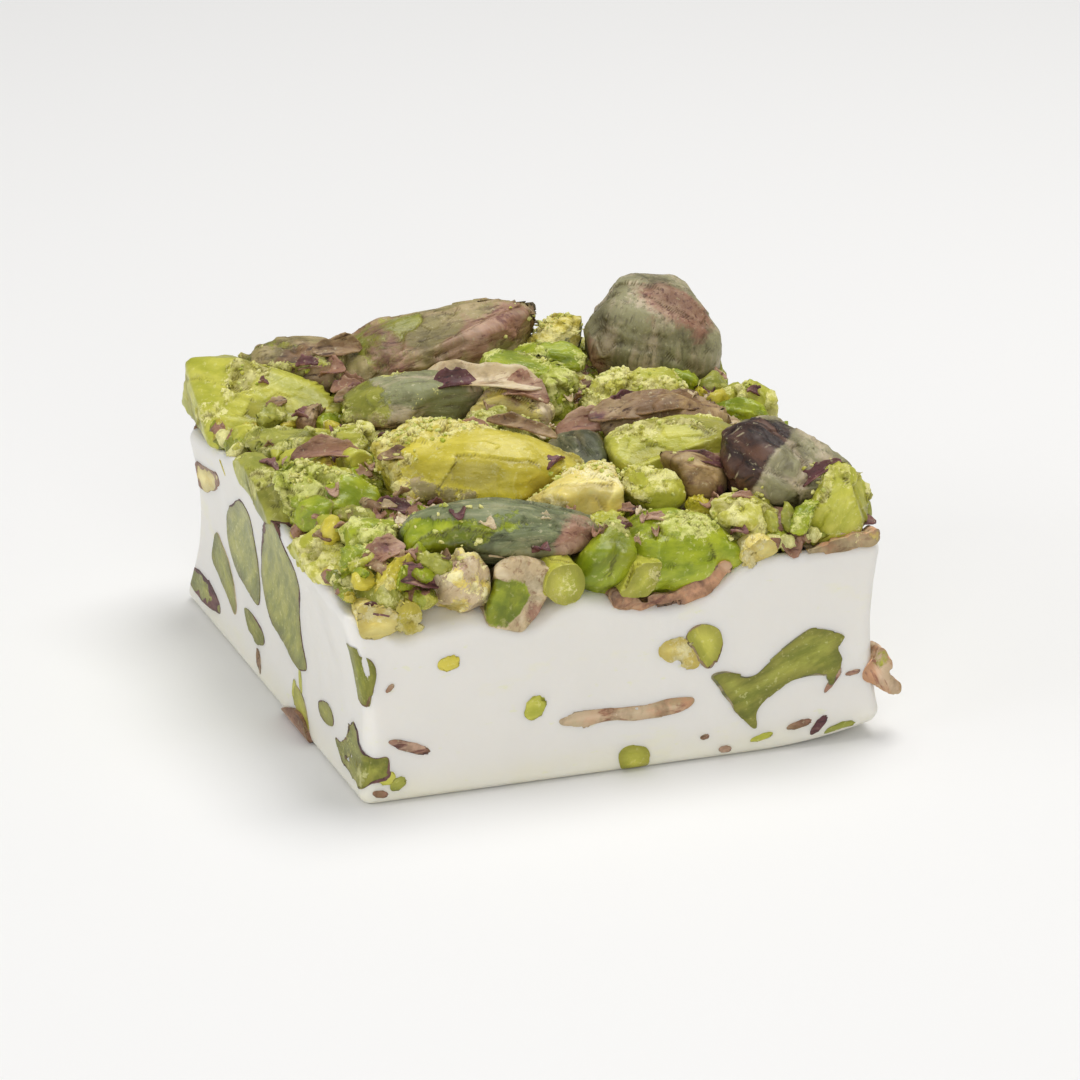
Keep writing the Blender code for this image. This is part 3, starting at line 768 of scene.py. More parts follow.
# %% The look of each nut
Look = namedtuple(
    "Look",
    "flesh skin stain peel crumb blotches rough facets soft across rim overhang stand",
    defaults=(1.0, 0, 4, False, 0.15, 0.25, 0),
)
CHUNK = {"facets": 8, "soft": 2}
LOOKS = {
    "standing_kernel": Look("green", "dusty", "rose", 1.1, -0.5, -0.1, 0.9, soft=6, across=True),
    "split_yellow_kernel": Look("yellow", "olive", "brown", -0.3, 0.15, -0.3, 1.1, facets=4, soft=3),
    "long_back_kernel": Look("green", "olive", "rose", 1.0, -0.5, 0.1, 1.1, facets=3, soft=3),
    "front_dark_kernel": Look("bright", "deep", "rose", 0.9, -0.4, -0.2, 1.2, facets=4, soft=3),
    "corner_wedge": Look("lime", "olive", "plum", -0.3, 0.1, -0.5, 0.8, soft=2),
    "left_edge_sliver": Look("green", "grey", "plum", 0.1, 0.3, -0.2, 0.8),
    "blackened_kernel": Look("green", "dusty", "black", 0.9, -0.7, -0.1, 2.4, facets=6, soft=3),
    "pale_green_kernel": Look("lime", "olive", "rose", -0.3, 0.0, -0.4, 0.8, facets=4),
    "crumbly_left_chunk": Look("bright", "deep", "plum", -0.2, 0.45, -0.5, 1.4, **CHUNK),
    "front_green_kernel": Look("bright", "deep", "rose", -0.5, 0.05, -0.5, 0.7, soft=8, overhang=0.8),
    "right_corner_chunk": Look("lime", "plum", "black", -0.1, 0.35, -0.4, 1.2, **CHUNK),
    "round_green_kernel": Look("bright", "deep", "plum", -0.5, -0.1, -0.6, 0.4, soft=14, overhang=0.8),
    "streaked_kernel": Look("green", "grey", "brown", 0.6, 0.1, -0.1, 1.1, facets=5, soft=3),
    "pale_cube": Look("pale", "beige", "beige", -0.5, 0.15, -0.5, 0.7, soft=1),
    "pale_green_block": Look("lime", "beige", "beige", -0.5, 0.4, -0.5, 1.0, **CHUNK),
    "tan_kernel": Look("green", "tan", "plum", 0.9, -0.5, -0.5, 1.0, facets=5, soft=3),
    "crumbly_back_chunk": Look("lime", "beige", "beige", -0.5, 0.5, -0.5, 1.2, **CHUNK),
    "wrinkled_kernel": Look("green", "tan", "brown", 1.2, -0.8, 0.6, 2.6, facets=6, soft=3),
    "bright_back_chunk": Look("bright", "deep", "rose", -0.4, 0.35, -0.5, 1.2, **CHUNK),
    "bright_back_flake": Look("bright", "deep", "rose", -0.4, 0.3, -0.5, 1.0, **CHUNK),
    "bright_middle_chunk": Look("bright", "deep", "rose", -0.4, 0.5, -0.5, 1.2, **CHUNK),
    "yellow_back_kernel": Look("yellow", "deep", "brown", 0.3, 0.2, -0.4, 0.9, **CHUNK),
    "dark_middle_kernel": Look("bright", "moss", "plum", 1.0, -0.6, 0.2, 1.0, facets=3),
    "beige_kernel": Look("pale", "beige", "rose", 0.6, 0.3, 0.0, 1.1, facets=4, soft=3),
    "brown_back_kernel": Look("green", "olive", "brown", 0.8, 0.1, 0.4, 1.4, facets=5, soft=3),
    "right_back_chunk": Look("lime", "grey", "rose", -0.4, 0.35, -0.5, 1.1, **CHUNK),
    "small_green_chunk": Look("green", "grey", "rose", -0.2, 0.4, -0.4, 1.1, **CHUNK),
    "left_crumbly_chunk": Look("green", "grey", "rose", -0.2, 0.5, -0.4, 1.2, **CHUNK),
    "left_small_chunk": Look("lime", "beige", "rose", -0.3, 0.5, -0.5, 1.1, **CHUNK),
    "left_front_chunk": Look("lime", "grey", "rose", -0.4, 0.35, -0.4, 1.0, **CHUNK),
    "green_front_chunk": Look("bright", "deep", "rose", -0.3, 0.45, -0.3, 1.2, **CHUNK),
    "green_front_cube": Look("green", "deep", "rose", -0.5, 0.25, -0.5, 0.8, **CHUNK),
    "beige_front_tip": Look("pale", "beige", "rose", 0.6, 0.25, 0.0, 0.9, facets=4, soft=3),
    "cut_front_kernel": Look("bright", "beige", "rose", 1.0, -0.1, 0.1, 0.7, soft=6),
    "pale_right_chunk": Look("lime", "beige", "rose", -0.4, 0.4, -0.5, 1.0, **CHUNK),
}
# The nuts that the knife went through show their cut flesh within a thin rim of skin.
CUT_LOOKS = {
    "pistachio_skin": Look("cut", "rose", "plum", 0.75, -0.6, 0.1, 0.6),
    "green_flesh": Look("cut", "plum", "deep", -0.6, -0.3, -0.5, 0.6),
    "yellow_flesh": Look("yellow", "beige", "rose", -0.6, -0.1, -0.4, 0.6),
    "left_rimmed_chip": Look("pale", "rose", "plum", 0.1, -0.1, 0.1, 0.8, rim=0.6),
    "left_long_streak": Look("cut", "beige", "plum", -0.5, 0.0, -0.5, 0.6, rim=0.06),
    "left_low_kernel": Look("cut", "plum", "rose", 0.2, -0.4, 0.0, 0.7, rim=0.5),
    "left_big_kernel": Look("cut", "plum", "rose", -0.6, -0.2, -0.5, 0.8, rim=0.22),
    "left_bottom_chip": Look("pale", "rose", "beige", 0.9, -0.4, 0.1, 0.8, stand=0.3),
    "left_bottom_streak": Look("lime", "beige", "rose", -0.6, 0.1, -0.5, 0.6, rim=0.05),
    "front_corner_kernel": Look("cut", "brown", "deep", -0.6, 0.1, -0.5, 1.0, rim=0.1),
    "front_foot_kernel": Look("cut", "plum", "deep", -0.3, 0.3, -0.1, 1.3, rim=0.2),
    "front_bow_kernel": Look("cut", "grey", "brown", -0.6, -0.1, -0.6, 0.8, rim=0.12),
    "front_yellow_pair": Look("pale", "beige", "rose", -0.6, 0.15, -0.2, 1.4, rim=0),
    "front_green_flake": Look("lime", "brown", "rose", -0.6, 0.1, -0.5, 1.0, rim=0.12),
    "front_low_chip": Look("lime", "grey", "rose", -0.6, 0.1, -0.5, 0.8, rim=0),
    "front_skin_streak": Look("pale", "copper", "beige", 1.1, -0.5, 0.3, 0.9, stand=-0.03),
    "right_corner_skin": Look("lime", "copper", "rose", 0.7, -0.1, 0.2, 1.2),
    "border_yellow_chip": Look("pale", "beige", "rose", -0.6, 0.3, -0.3, 1.6, rim=0, stand=0.1),
    "border_lime_chip": Look("yellow", "beige", "rose", -0.6, 0.4, -0.5, 1.8, rim=0, stand=0.12),
    "border_green_chip": Look("lime", "beige", "rose", -0.6, 0.15, -0.5, 1.2, rim=0, stand=0.8),
    "border_pale_chip": Look("pale", "beige", "rose", -0.6, 0.3, -0.5, 1.4, rim=0, stand=0.3),
    "border_round_chip": Look("lime", "beige", "rose", -0.6, 0.1, -0.5, 0.8, rim=0, stand=0.7),
    "border_skin_strip": Look("lime", "copper", "rose", 1.0, -0.1, 0.45, 2.2, stand=0.04),
    "border_corner_skin": Look("pale", "beige", "copper", 0.7, 0.2, 0.4, 1.0, stand=0.02),
}

# %% [markdown]
# Where a nut has a mark of its own, such as a torn patch or a dark stain, a dab puts it there. A dab
# has a kind, a centre in millimetres, a radius and a strength, which is negative to take away.

# %% Marks of single nuts
DABS = {
    "standing_kernel": [
        ("stain", (16.5, 12.7, 23.5), 2.6, 1.0), ("stain", (18.6, 11.6, 22), 2.0, 0.8),
        ("stain", (11.6, 14.6, 19.5), 1.4, 0.5), ("skin", (18.2, 11.8, 21.4), 0.4, -1.6),
        ("skin", (18.1, 11.6, 20.6), 0.35, -1.6), ("skin", (18, 11.5, 19.8), 0.3, -1.6),
    ],
    "long_back_kernel": [
        ("stain", (1, 15.8, 20.9), 3.2, 0.8), ("stain", (4, 17, 22), 2.2, 0.7),
        ("stain", (-5.3, 15.3, 19.9), 2.4, 0.8), ("skin", (-5.7, 16.8, 21.4), 2.0, -1.0),
        ("stain", (-1.6, 17.8, 22.7), 2.2, -0.8), ("skin", (-6.6, 18.4, 21.6), 1.6, -1.2),
        ("skin", (-3.2, 19, 22.8), 1.5, -1.1),
    ],
    "corner_wedge": [
        ("crumb", (-17.5, 15.4, 19.8), 1.8, 0.4), ("crumb", (-19.6, 14.6, 17.8), 1.8, 0.4),
        ("crumb", (-13.7, 13.4, 17.4), 3.2, -0.8), ("crumb", (-20.6, 16, 20.1), 1.4, -0.7),
        ("skin", (-12.6, 13, 18.2), 2.2, 0.9),
    ],
    "brown_back_kernel": [("stain", (-13, 15, 20.6), 2.2, 0.8), ("stain", (-12, 13.6, 19), 1.6, 0.8)],
    "streaked_kernel": [
        ("stain", (-9.1, 7.3, 17.8), 2.0, 0.9), ("stain", (-6.5, 4.5, 18), 2.2, 0.9),
        ("stain", (-4.6, 6.2, 20.3), 2.4, -0.6),
    ],
    "split_yellow_kernel": [
        ("crumb", (-9.3, -5.6, 22.3), 2.6, 0.6), ("crumb", (-13, -6.3, 20), 2.2, 0.5),
        ("crumb", (-4, -6.4, 22.1), 2.4, 0.5), ("crumb", (-5.4, -10.5, 21), 3.0, -0.8),
        ("crumb", (-9.5, -8.8, 21.3), 2.0, -0.5), ("crumb", (-1.6, -11, 20.3), 2.0, -0.5),
        ("skin", (-11.7, -8.2, 18.5), 2.8, 1.1), ("skin", (-8.4, -10.2, 19), 2.2, 0.9),
    ],
    "blackened_kernel": [
        ("stain", (12.9, -14.6, 21.5), 2.8, 1.5), ("stain", (12.2, -14.2, 19.3), 2.6, 1.4),
        ("stain", (14.8, -15, 22.1), 1.6, 0.8), ("stain", (16.6, -16.6, 21.2), 2.4, -1.0),
        ("stain", (15, -17.7, 19), 2.2, -0.9),
    ],
    "front_dark_kernel": [
        ("stain", (-2.8, -20.1, 17.8), 2.2, 1.1), ("stain", (-3.5, -20, 16.4), 1.8, 0.9),
        ("skin", (-13.4, -18.7, 18.6), 1.9, -1.4), ("crumb", (-13.8, -18.4, 18.5), 1.6, 0.8),
    ],
    "tan_kernel": [("stain", (8.4, -14.1, 20), 1.0, 0.9), ("stain", (10.2, -13.8, 18.4), 1.1, 1.1)],
    "crumbly_left_chunk": [
        ("crumb", (-19, -6, 20.4), 2.8, 0.5), ("crumb", (-16.2, -8.3, 18.3), 2.2, -1.3),
        ("crumb", (-18.3, -8.4, 17.3), 1.6, -0.8),
    ],
    "front_green_kernel": [
        ("crumb", (2.7, -21.1, 17.8), 1.5, 0.7), ("crumb", (6, -20.5, 18.4), 1.8, 0.6),
        ("crumb", (4, -22.1, 15.3), 2.2, -0.7),
    ],
    "round_green_kernel": [
        ("stain", (-0.8, -22, 16.5), 0.5, 1.4), ("crumb", (0.8, -19.8, 18.8), 1.4, 0.7),
    ],
    "pale_green_kernel": [
        ("crumb", (7.4, -6, 21), 1.8, 0.8), ("crumb", (12.9, -8.4, 20.8), 1.6, 0.6),
        ("skin", (13.6, -10, 19.5), 1.5, 0.8),
    ],
    "pale_cube": [
        ("crumb", (0.2, -15.6, 19.2), 1.6, -0.8), ("crumb", (0.6, -13.2, 20.5), 2.4, 0.9),
        ("crumb", (-3, -14.6, 18.8), 1.2, 0.8), ("crumb", (3, -15, 18), 1.0, 0.8),
    ],
    "right_corner_chunk": [
        ("crumb", (16.8, -21.2, 20.5), 2.2, 0.5), ("crumb", (18.6, -22.1, 17.9), 1.8, -0.9),
        ("skin", (16.3, -18.6, 20), 1.2, 1.2), ("stain", (16, -18.6, 19.6), 0.9, 1.0),
    ],
    "beige_kernel": [("stain", (0.6, 4.3, 20.7), 1.4, 0.8)],
    "wrinkled_kernel": [("stain", (9.2, -0.7, 20.6), 1.4, 0.5)],
    "yellow_back_kernel": [("crumb", (7.6, 18.6, 21.2), 1.5, 0.9), ("skin", (10.4, 16.6, 20.1), 2.0, 1.1)],
    "cut_front_kernel": [
        ("skin", (-9, -22.5, 15.2), 1.5, -1.8), ("stain", (-9, -22.5, 15.2), 1.5, -1.4),
        ("stain", (-7, -22.5, 14), 1.2, 0.9),
    ],
}
print(len(LOOKS), "looks,", sum(len(dabs) for dabs in DABS.values()), "marks")

# %% [markdown]
# A nut in a cut side shows as a flat shape in the white, so its outline is what counts. It starts as
# a circle whose points are moved onto a smooth closed curve through a few corners. The filled shape
# is then extruded into the block. A corner is its place along the side and its height, in mm.

# %% Nuts inlaid in the sides
OUTLINES = {
    "left_rimmed_chip": ("left", [
        (20.7, 11.9), (16.2, 13), (13.2, 13.6), (14, 12.2), (18.9, 10.1), (21.3, 10)]),
    "left_green_oval": ("left", [
        (6.9, 13.8), (4.6, 13.4), (5, 11.1), (4.9, 8.8), (4.7, 7.1), (5.2, 5.6), (8.3, 5.9),
        (11.7, 6.6), (13.3, 8.4), (12.6, 10.6), (10, 12.3)]),
    "left_long_streak": ("left", [
        (16.7, 7.5), (14.6, 6.9), (12.6, 5.9), (10.4, 4.0), (10.1, 2.9), (12.6, 3.5), (14.9, 4.3),
        (17.3, 5.2)]),
    "left_low_kernel": ("left", [
        (22, 2.5), (19.9, 3), (17, 2.9), (14.5, 2.6), (13.3, 1.8), (15.7, 1.5), (18.6, 1.3), (21.4, 1.4)]),
    "left_big_kernel": ("left", [
        (-2.3, 15.6), (-5.6, 16.1), (-7.3, 14.4), (-8.3, 13), (-7.4, 10.8), (-6.1, 8.7), (-6.3, 6.8),
        (-7.5, 5.4), (-6.5, 4.6), (-4.5, 4.6), (-2, 5), (1.2, 5.4), (3.3, 6.8), (4, 8.8), (2.2, 12.2)]),
    "left_small_kernel": ("left", [
        (8.4, 4.3), (6.2, 4.5), (4, 4.2), (2.8, 3.4), (4.2, 2.8), (6.7, 3.1)]),
    "left_bottom_streak": ("left", [
        (-5.2, 3.1), (-6.8, 3.1), (-8.3, 2.3), (-9.7, 0.6), (-8.5, 0.8), (-6.9, 1.4), (-5.6, 2.1)]),
    "left_bottom_chip": ("left", [
        (-3.2, 0.3), (-6, 1.4), (-8.3, 1.5), (-9.9, 0.5), (-7.5, 0), (-4.5, 0)]),
    "left_corner_chip": ("left", [
        (-10.7, 3.9), (-12.5, 4.5), (-13.9, 4.3), (-14.5, 3.5), (-13.1, 3), (-11.4, 3.1)]),
    "front_corner_kernel": ("front", [
        (-21.1, 12.9), (-20.4, 11.9), (-19.4, 11.7), (-18.8, 10.6), (-19, 9.3), (-19.6, 7.7),
        (-20.3, 8.7), (-20.8, 9.9), (-20.9, 11.3)]),
    "front_foot_kernel": ("left", [
        (-15.1, 2.8), (-17.1, 3.3), (-18.8, 5.5), (-20.1, 5.3), (-20.6, 4.5), (-22.2, 3.9),
        (-22.7, 2.8), (-21.6, 1.4), (-20.2, 1.5), (-17.9, 1.6), (-16.1, 2.1)]),
    "front_bow_kernel": ("front", [
        (7.1, 6.8), (8.2, 7.1), (9.5, 6.7), (10.6, 6.5), (11.9, 7.5), (14.4, 9.3), (15.5, 9.6),
        (17.8, 8.8), (17.3, 7.7), (17.6, 6.7), (16.7, 4.8), (16.2, 5.8), (13.9, 5.6), (12.4, 4.8),
        (11, 3.6), (10.9, 2.1), (9.7, 2.8), (8.5, 4.6), (7.7, 6)]),
    "front_yellow_pair": ("front", [
        (3.2, 9.4), (3.8, 10.1), (5, 10.2), (5.7, 9.3), (6.3, 7.9), (5.4, 7.6), (4.8, 8.2), (3.7, 8.6)]),
    "front_green_flake": ("front", [
        (5.3, 10.3), (6.3, 10.9), (7.6, 10.5), (8, 9.3), (7.7, 8.1), (7.1, 7.3), (6.4, 7.9), (6, 9)]),
    "front_low_chip": ("front", [
        (0, 1.7), (0.7, 2.1), (1.9, 2), (2.4, 1.4), (2.3, 0.5), (1.7, 0.1), (0.6, 0.1), (0, 0.7)]),
    "front_skin_streak": ("front", [
        (-4.8, 4.8), (-3.2, 5.1), (-0.6, 5.1), (2, 4.9), (4.1, 5.1), (5.8, 5.1), (4.8, 4.5), (1.6, 4.3),
        (-1.2, 4.5), (-3.4, 4.4)]),
    "right_corner_skin": ("front", [
        (19.4, 5.2), (20.1, 6.2), (20.7, 7.1), (21.3, 5.9), (21.4, 4.8), (22.4, 4.1), (22.3, 3.5),
        (21.2, 3.9), (20.3, 4.5)]),
    "border_yellow_chip": ("front", [
        (-20, 15.8), (-18.4, 16), (-17.4, 15.5), (-17.3, 13.9), (-18.6, 13.4), (-19.9, 13.8)]),
    "border_lime_chip": ("front", [
        (-17.2, 15.9), (-15.6, 15.8), (-15.2, 14.7), (-15.8, 13.7), (-17.2, 13.9)]),
    "border_green_chip": ("front", [
        (0.8, 16.4), (0.9, 16.7), (2.8, 16.8), (2.9, 16.6), (2.6, 15.4), (1.8, 14.4), (1.6, 14.3),
        (0, 14.7), (0, 14.9)]),
    "border_round_chip": ("front", [
        (-5.6, 17.3), (-4, 17.5), (-3.2, 16.4), (-3.3, 15.1), (-4.4, 14.3), (-5.6, 14.8), (-6.2, 16)]),
    "border_skin_strip": ("front", [
        (-0.5, 14.3), (0.8, 13.8), (2.6, 13.6), (4.6, 13.8), (6.4, 14.4), (8.4, 15.6), (7, 14.2),
        (5.2, 13.3), (3, 13), (1.2, 13.1), (0, 13.6)]),
    "border_corner_skin": ("front", [
        (14.6, 15.8), (16.2, 16.1), (17.6, 16.2), (18.5, 16.6), (19.2, 16.3), (20.1, 16.8), (20.4, 16.3),
        (19.7, 15.9), (18.6, 16), (17.6, 15.8), (16.2, 15.8)]),
    "border_pale_chip": ("front", [
        (9.2, 16.2), (10.2, 17.3), (11.6, 17.4), (12.4, 16.4), (11.2, 15.6), (9.7, 15.3)]),
}
HULLS = {
    "corner_wedge": [
        (-21, 19.4, 21), (-21, 20.8, 17), (-21, 15.4, 16.2), (-21, 12.2, 16.4), (-17.8, 16.5, 21.6),
        (-17.5, 19.5, 20.8), (-12, 14.5, 19.4), (-10.9, 12.6, 18.2), (-16.6, 11.6, 17.4),
        (-18, 18, 15.5), (-13, 13.4, 15.8)],
    "pale_cube": [
        (-2.6, -15.2, 18), (2.4, -15.3, 17.6), (-2.4, -15.2, 20.1), (2, -15.2, 20), (-3.5, -14.3, 19.6),
        (-3.6, -13.4, 18.2), (1.7, -11.4, 20.7), (3.2, -11.6, 20.2), (0.2, -11.4, 20.4), (3.4, -11, 17.4),
        (-2.5, -11, 17.4), (3.2, -14, 18)],
}
INLAY_DEPTH = 1.8 * MM
INLAY_START = 0.35 * MM
INLAY_VOXEL = 0.22 * MM
INLAY_SOFTENING = 3
INLAY_POINTS = 96
RAGGED_EDGE = 0.10


def closed_curve(corners, count):
    """Points of a smooth closed curve through these corners."""
    corners = np.array(corners)
    share = np.arange(count) / count * len(corners)
    first = share.astype(int)
    t = (share - first)[:, None]
    a, b, c, d = (corners[(first + step) % len(corners)] for step in (-1, 0, 1, 2))
    return 0.5 * (2 * b + (c - a) * t + (2 * a - 5 * b + 4 * c - d) * t ** 2 + (3 * b - a - 3 * c + d) * t ** 3)


def on_side(side, spots, heights):
    """Points on a side of the block, from places along it and heights, in metres."""
    far = 1 if side in ("right", "back") else -1
    if side in ("front", "back"):
        share = np.clip(2 * spots / WIDTH, -1, 1)
        return np.stack([spots, far * DEPTH / 2 + lean(share, far, heights)[1], heights], axis=1)
    share = np.clip(2 * spots / DEPTH, -1, 1)
    return np.stack([far * WIDTH / 2 + lean(far, share, heights)[0], spots, heights], axis=1)


def hull(name, corners):
    """A coarse mesh: the tightest skin round a few corners."""
    bm = bmesh.new()
    for corner in corners:
        bmesh.ops.create_vert(bm, co=Vector(corner) * MM)
    bmesh.ops.convex_hull(bm, input=bm.verts[:])
    mesh = bpy.data.meshes.new(name + "_hull")
    bm.to_mesh(mesh)
    bm.free()
    return mesh


def inlay(name, side, corners, start, ragged, seed):
    """A coarse mesh: the outline of a nut, filled and extruded into the block."""
    curve = closed_curve(corners, INLAY_POINTS)
    curve = curve + ragged * waves(np.column_stack([curve, 0 * curve[:, 0]]), 0.9, seed, 3)[:, None]
    inward = Vector((0, 1, 0)) if side == "front" else Vector((1, 0, 0))
    places = on_side(side, curve[:, 0] * MM, np.maximum(curve[:, 1], 0) * MM) - np.array(inward) * start
    bm = bmesh.new()
    bmesh.ops.create_circle(bm, cap_ends=True, segments=INLAY_POINTS, radius=1)
    for vert, place in zip(bm.verts, places):
        vert.co = place
    pushed = bmesh.ops.extrude_face_region(bm, geom=bm.faces[:])["geom"]
    moving = [part for part in pushed if isinstance(part, bmesh.types.BMVert)]
    bmesh.ops.translate(bm, verts=moving, vec=inward * (start + INLAY_DEPTH))
    bmesh.ops.recalc_face_normals(bm, faces=bm.faces)
    mesh = bpy.data.meshes.new(name + "_outline")
    bm.to_mesh(mesh)
    bm.free()
    return mesh


# %% [markdown]
# The nuts were pressed on while the nougat was warm, so they fill the space between them like
# stones in a wall. Each point of a nut therefore grows until it is half-way to the nearest other
# nut, if that is close, and only sideways, because its top and its foot have
# found their place already.

# %% Pressing the nuts together
PRESS_REACH = 1.0 * MM
SEAM = 0.03 * MM
SEAM_WIDTH = 1.3 * MM


def solid_tree(names):
    """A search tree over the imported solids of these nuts."""
    bm = bmesh.new()
    for name in names:
        bm.from_mesh(frame["nodes"][name].data)
    tree = BVHTree.FromBMesh(bm)
    bm.free()
    return tree


def growth(points, normals, neighbours):
    """How far each point may grow along its normal, and how deep in a seam between nuts it lies."""
    found = [neighbours.find_nearest(point, 4 * PRESS_REACH)[3] for point in points]
    gap = np.array([4 * PRESS_REACH if distance is None else distance for distance in found])
    room = np.clip(gap / 2 - SEAM, 0, PRESS_REACH)
    close = 1 - ramp(gap, 1.8 * PRESS_REACH, 3.4 * PRESS_REACH)
    sideways = (1 - ramp(normals[:, 2], 0.15, 0.75)) * (1 - ramp(-normals[:, 2], 0.2, 0.8))
    # The seam value later darkens the nut's colour there, as painted shade between nuts.
    seam = (1 - ramp(gap, 0.2 * MM, SEAM_WIDTH)) * (1 - ramp(normals[:, 2], 0.3, 0.9))
    return SWELL + sideways * close * (room - SWELL), seam


# %% [markdown]
# The relief follows the masks. Skin is a layer, so it ends in a step, and thin ridges run along it
# with the grain. Where the nut has broken it shows facets and grains of several sizes. Smooth flesh
# only waves. A nut that the knife went through bulges over the side first and is then pressed back
# flat, which leaves a crisp outline. The rim of skin around its cut face is as thick as the distance
# allows, and its flesh is deeper green near the rim.

# %% Relief
CUT_PROUD = 0.05 * MM
SKIN_TAIL = 2.5 * MM
CUT_SWELL = 0.50 * MM
CUT_SOFTENING = 18
GREEN_WIDTH = 1.3 * MM
FINE_VOXEL = 0.24 * MM
SKIN_STEP = 0.12
EDGE_CRUMBS = 0.45
# Flat sides of single nuts: a point of the plane in mm, and the way it faces.
CLEFTS = {
    "long_back_kernel": [((-1.1, 18.8, 23.1), (-0.05, 0.39, 0.92))],
    "standing_kernel": [
        ((19.7, 13, 22.7), (0.85, -0.08, 0.52)), ((21, 13, 18.5), (0.95, -0.33, 0)),
        ((9.9, 13, 22.9), (-0.7, 0.46, 0.54)),
    ],
}
CLEFT_STRENGTH = 0.9
# Shares of a nut's points that a flat break leaves untouched, at least and at most.
DEEP_CLEFT = (0.74, 0.94)
SHALLOW_CLEFT = (0.82, 0.96)


def masks_of(name, look, points, seed):
    """How much skin, crumb and stain covers each point, from 0 to 1."""
    masks = {}
    for kind, share, size in (("skin", look.peel, 3.4), ("crumb", look.crumb, 2.6), ("stain", look.blotches, 3.0)):
        masks[kind] = share + 0.85 * waves(points, size * MM, seed + len(kind), 4)
    for kind, centre, radius, strength in DABS.get(name, ()):
        away = np.linalg.norm(points / MM - np.array(centre), axis=1) / radius
        masks[kind] = masks[kind] + strength * np.exp(-away ** 2)
    return {kind: np.clip(mask, 0, 1) for kind, mask in masks.items()}


def relief_of(look, masks, points, own, seed):
    """How far each point of a nut rises or sinks, in metres."""
    wrinkles = 1 - np.abs(waves(own * np.array([0.22, 1, 1]), 1.1 * MM, seed + 3, 3)) * 2
    folds = waves(own * np.array([0.35, 1, 1]), 2.4 * MM, seed + 5, 2)
    skin, crumb = ramp(masks["skin"], 0.44, 0.56), ramp(masks["crumb"], 0.42, 0.58)
    drawn = own * np.array([0.4, 1, 1])
    height = 0.26 * waves(points, 4.2 * MM, seed + 7, 2) + 0.15 * shards(drawn, 2.6 * MM, seed + 9)
    height = height + 0.06 * shards(drawn, 0.9 * MM, seed + 11)
    height = height + skin * (SKIN_STEP + 0.09 * wrinkles + 0.12 * folds)
    broken = crumb > 0
    lumps = points[broken]
    crust = 0.30 * shards(lumps, 2.0 * MM, seed) + 0.19 * shards(lumps, 0.8 * MM, seed + 1)
    clumped = ramp(waves(lumps, 1.2 * MM, seed + 4), -0.1, 0.4)
    crust = crust + 0.10 * clumped * grains(lumps, 0.36 * MM, seed + 2) - 0.03
    height[broken] = height[broken] + crumb[broken] * crust
    return look.rough * height * MM


def cleave(points, axes, count, depth, seed):
    """Breaks a lump flat along a few planes near its outside, but spares its long ends."""
    pick = np.random.default_rng(seed)
    for _ in range(count):
        normal = (pick.normal(size=3) * (0.3, 1, 1)) @ axes + (0, 0, 0.4)
        normal /= np.linalg.norm(normal)
        reach = np.quantile(points @ normal, pick.uniform(*depth))
        points = points - np.maximum(points @ normal - reach, 0)[:, None] * normal
    return points


def rim_depth(points, on_face):
    """For each point on the cut face, how far it lies from the outline of that face."""
    tree = KDTree(int((~on_face).sum()))
    for index, point in enumerate(points[~on_face]):
        tree.insert(point, index)
    tree.balance()
    return np.array([tree.find(point)[2] if face else 0.0 for point, face in zip(points, on_face)])


# %% Sculpting
slots = {part["node"]: part["material_slot"] for part in frame["record"]["subparts"]}
nut_names = [part["node"] for part in frame["record"]["subparts"] if part["node"] not in ("nougat", "chip_bed")]


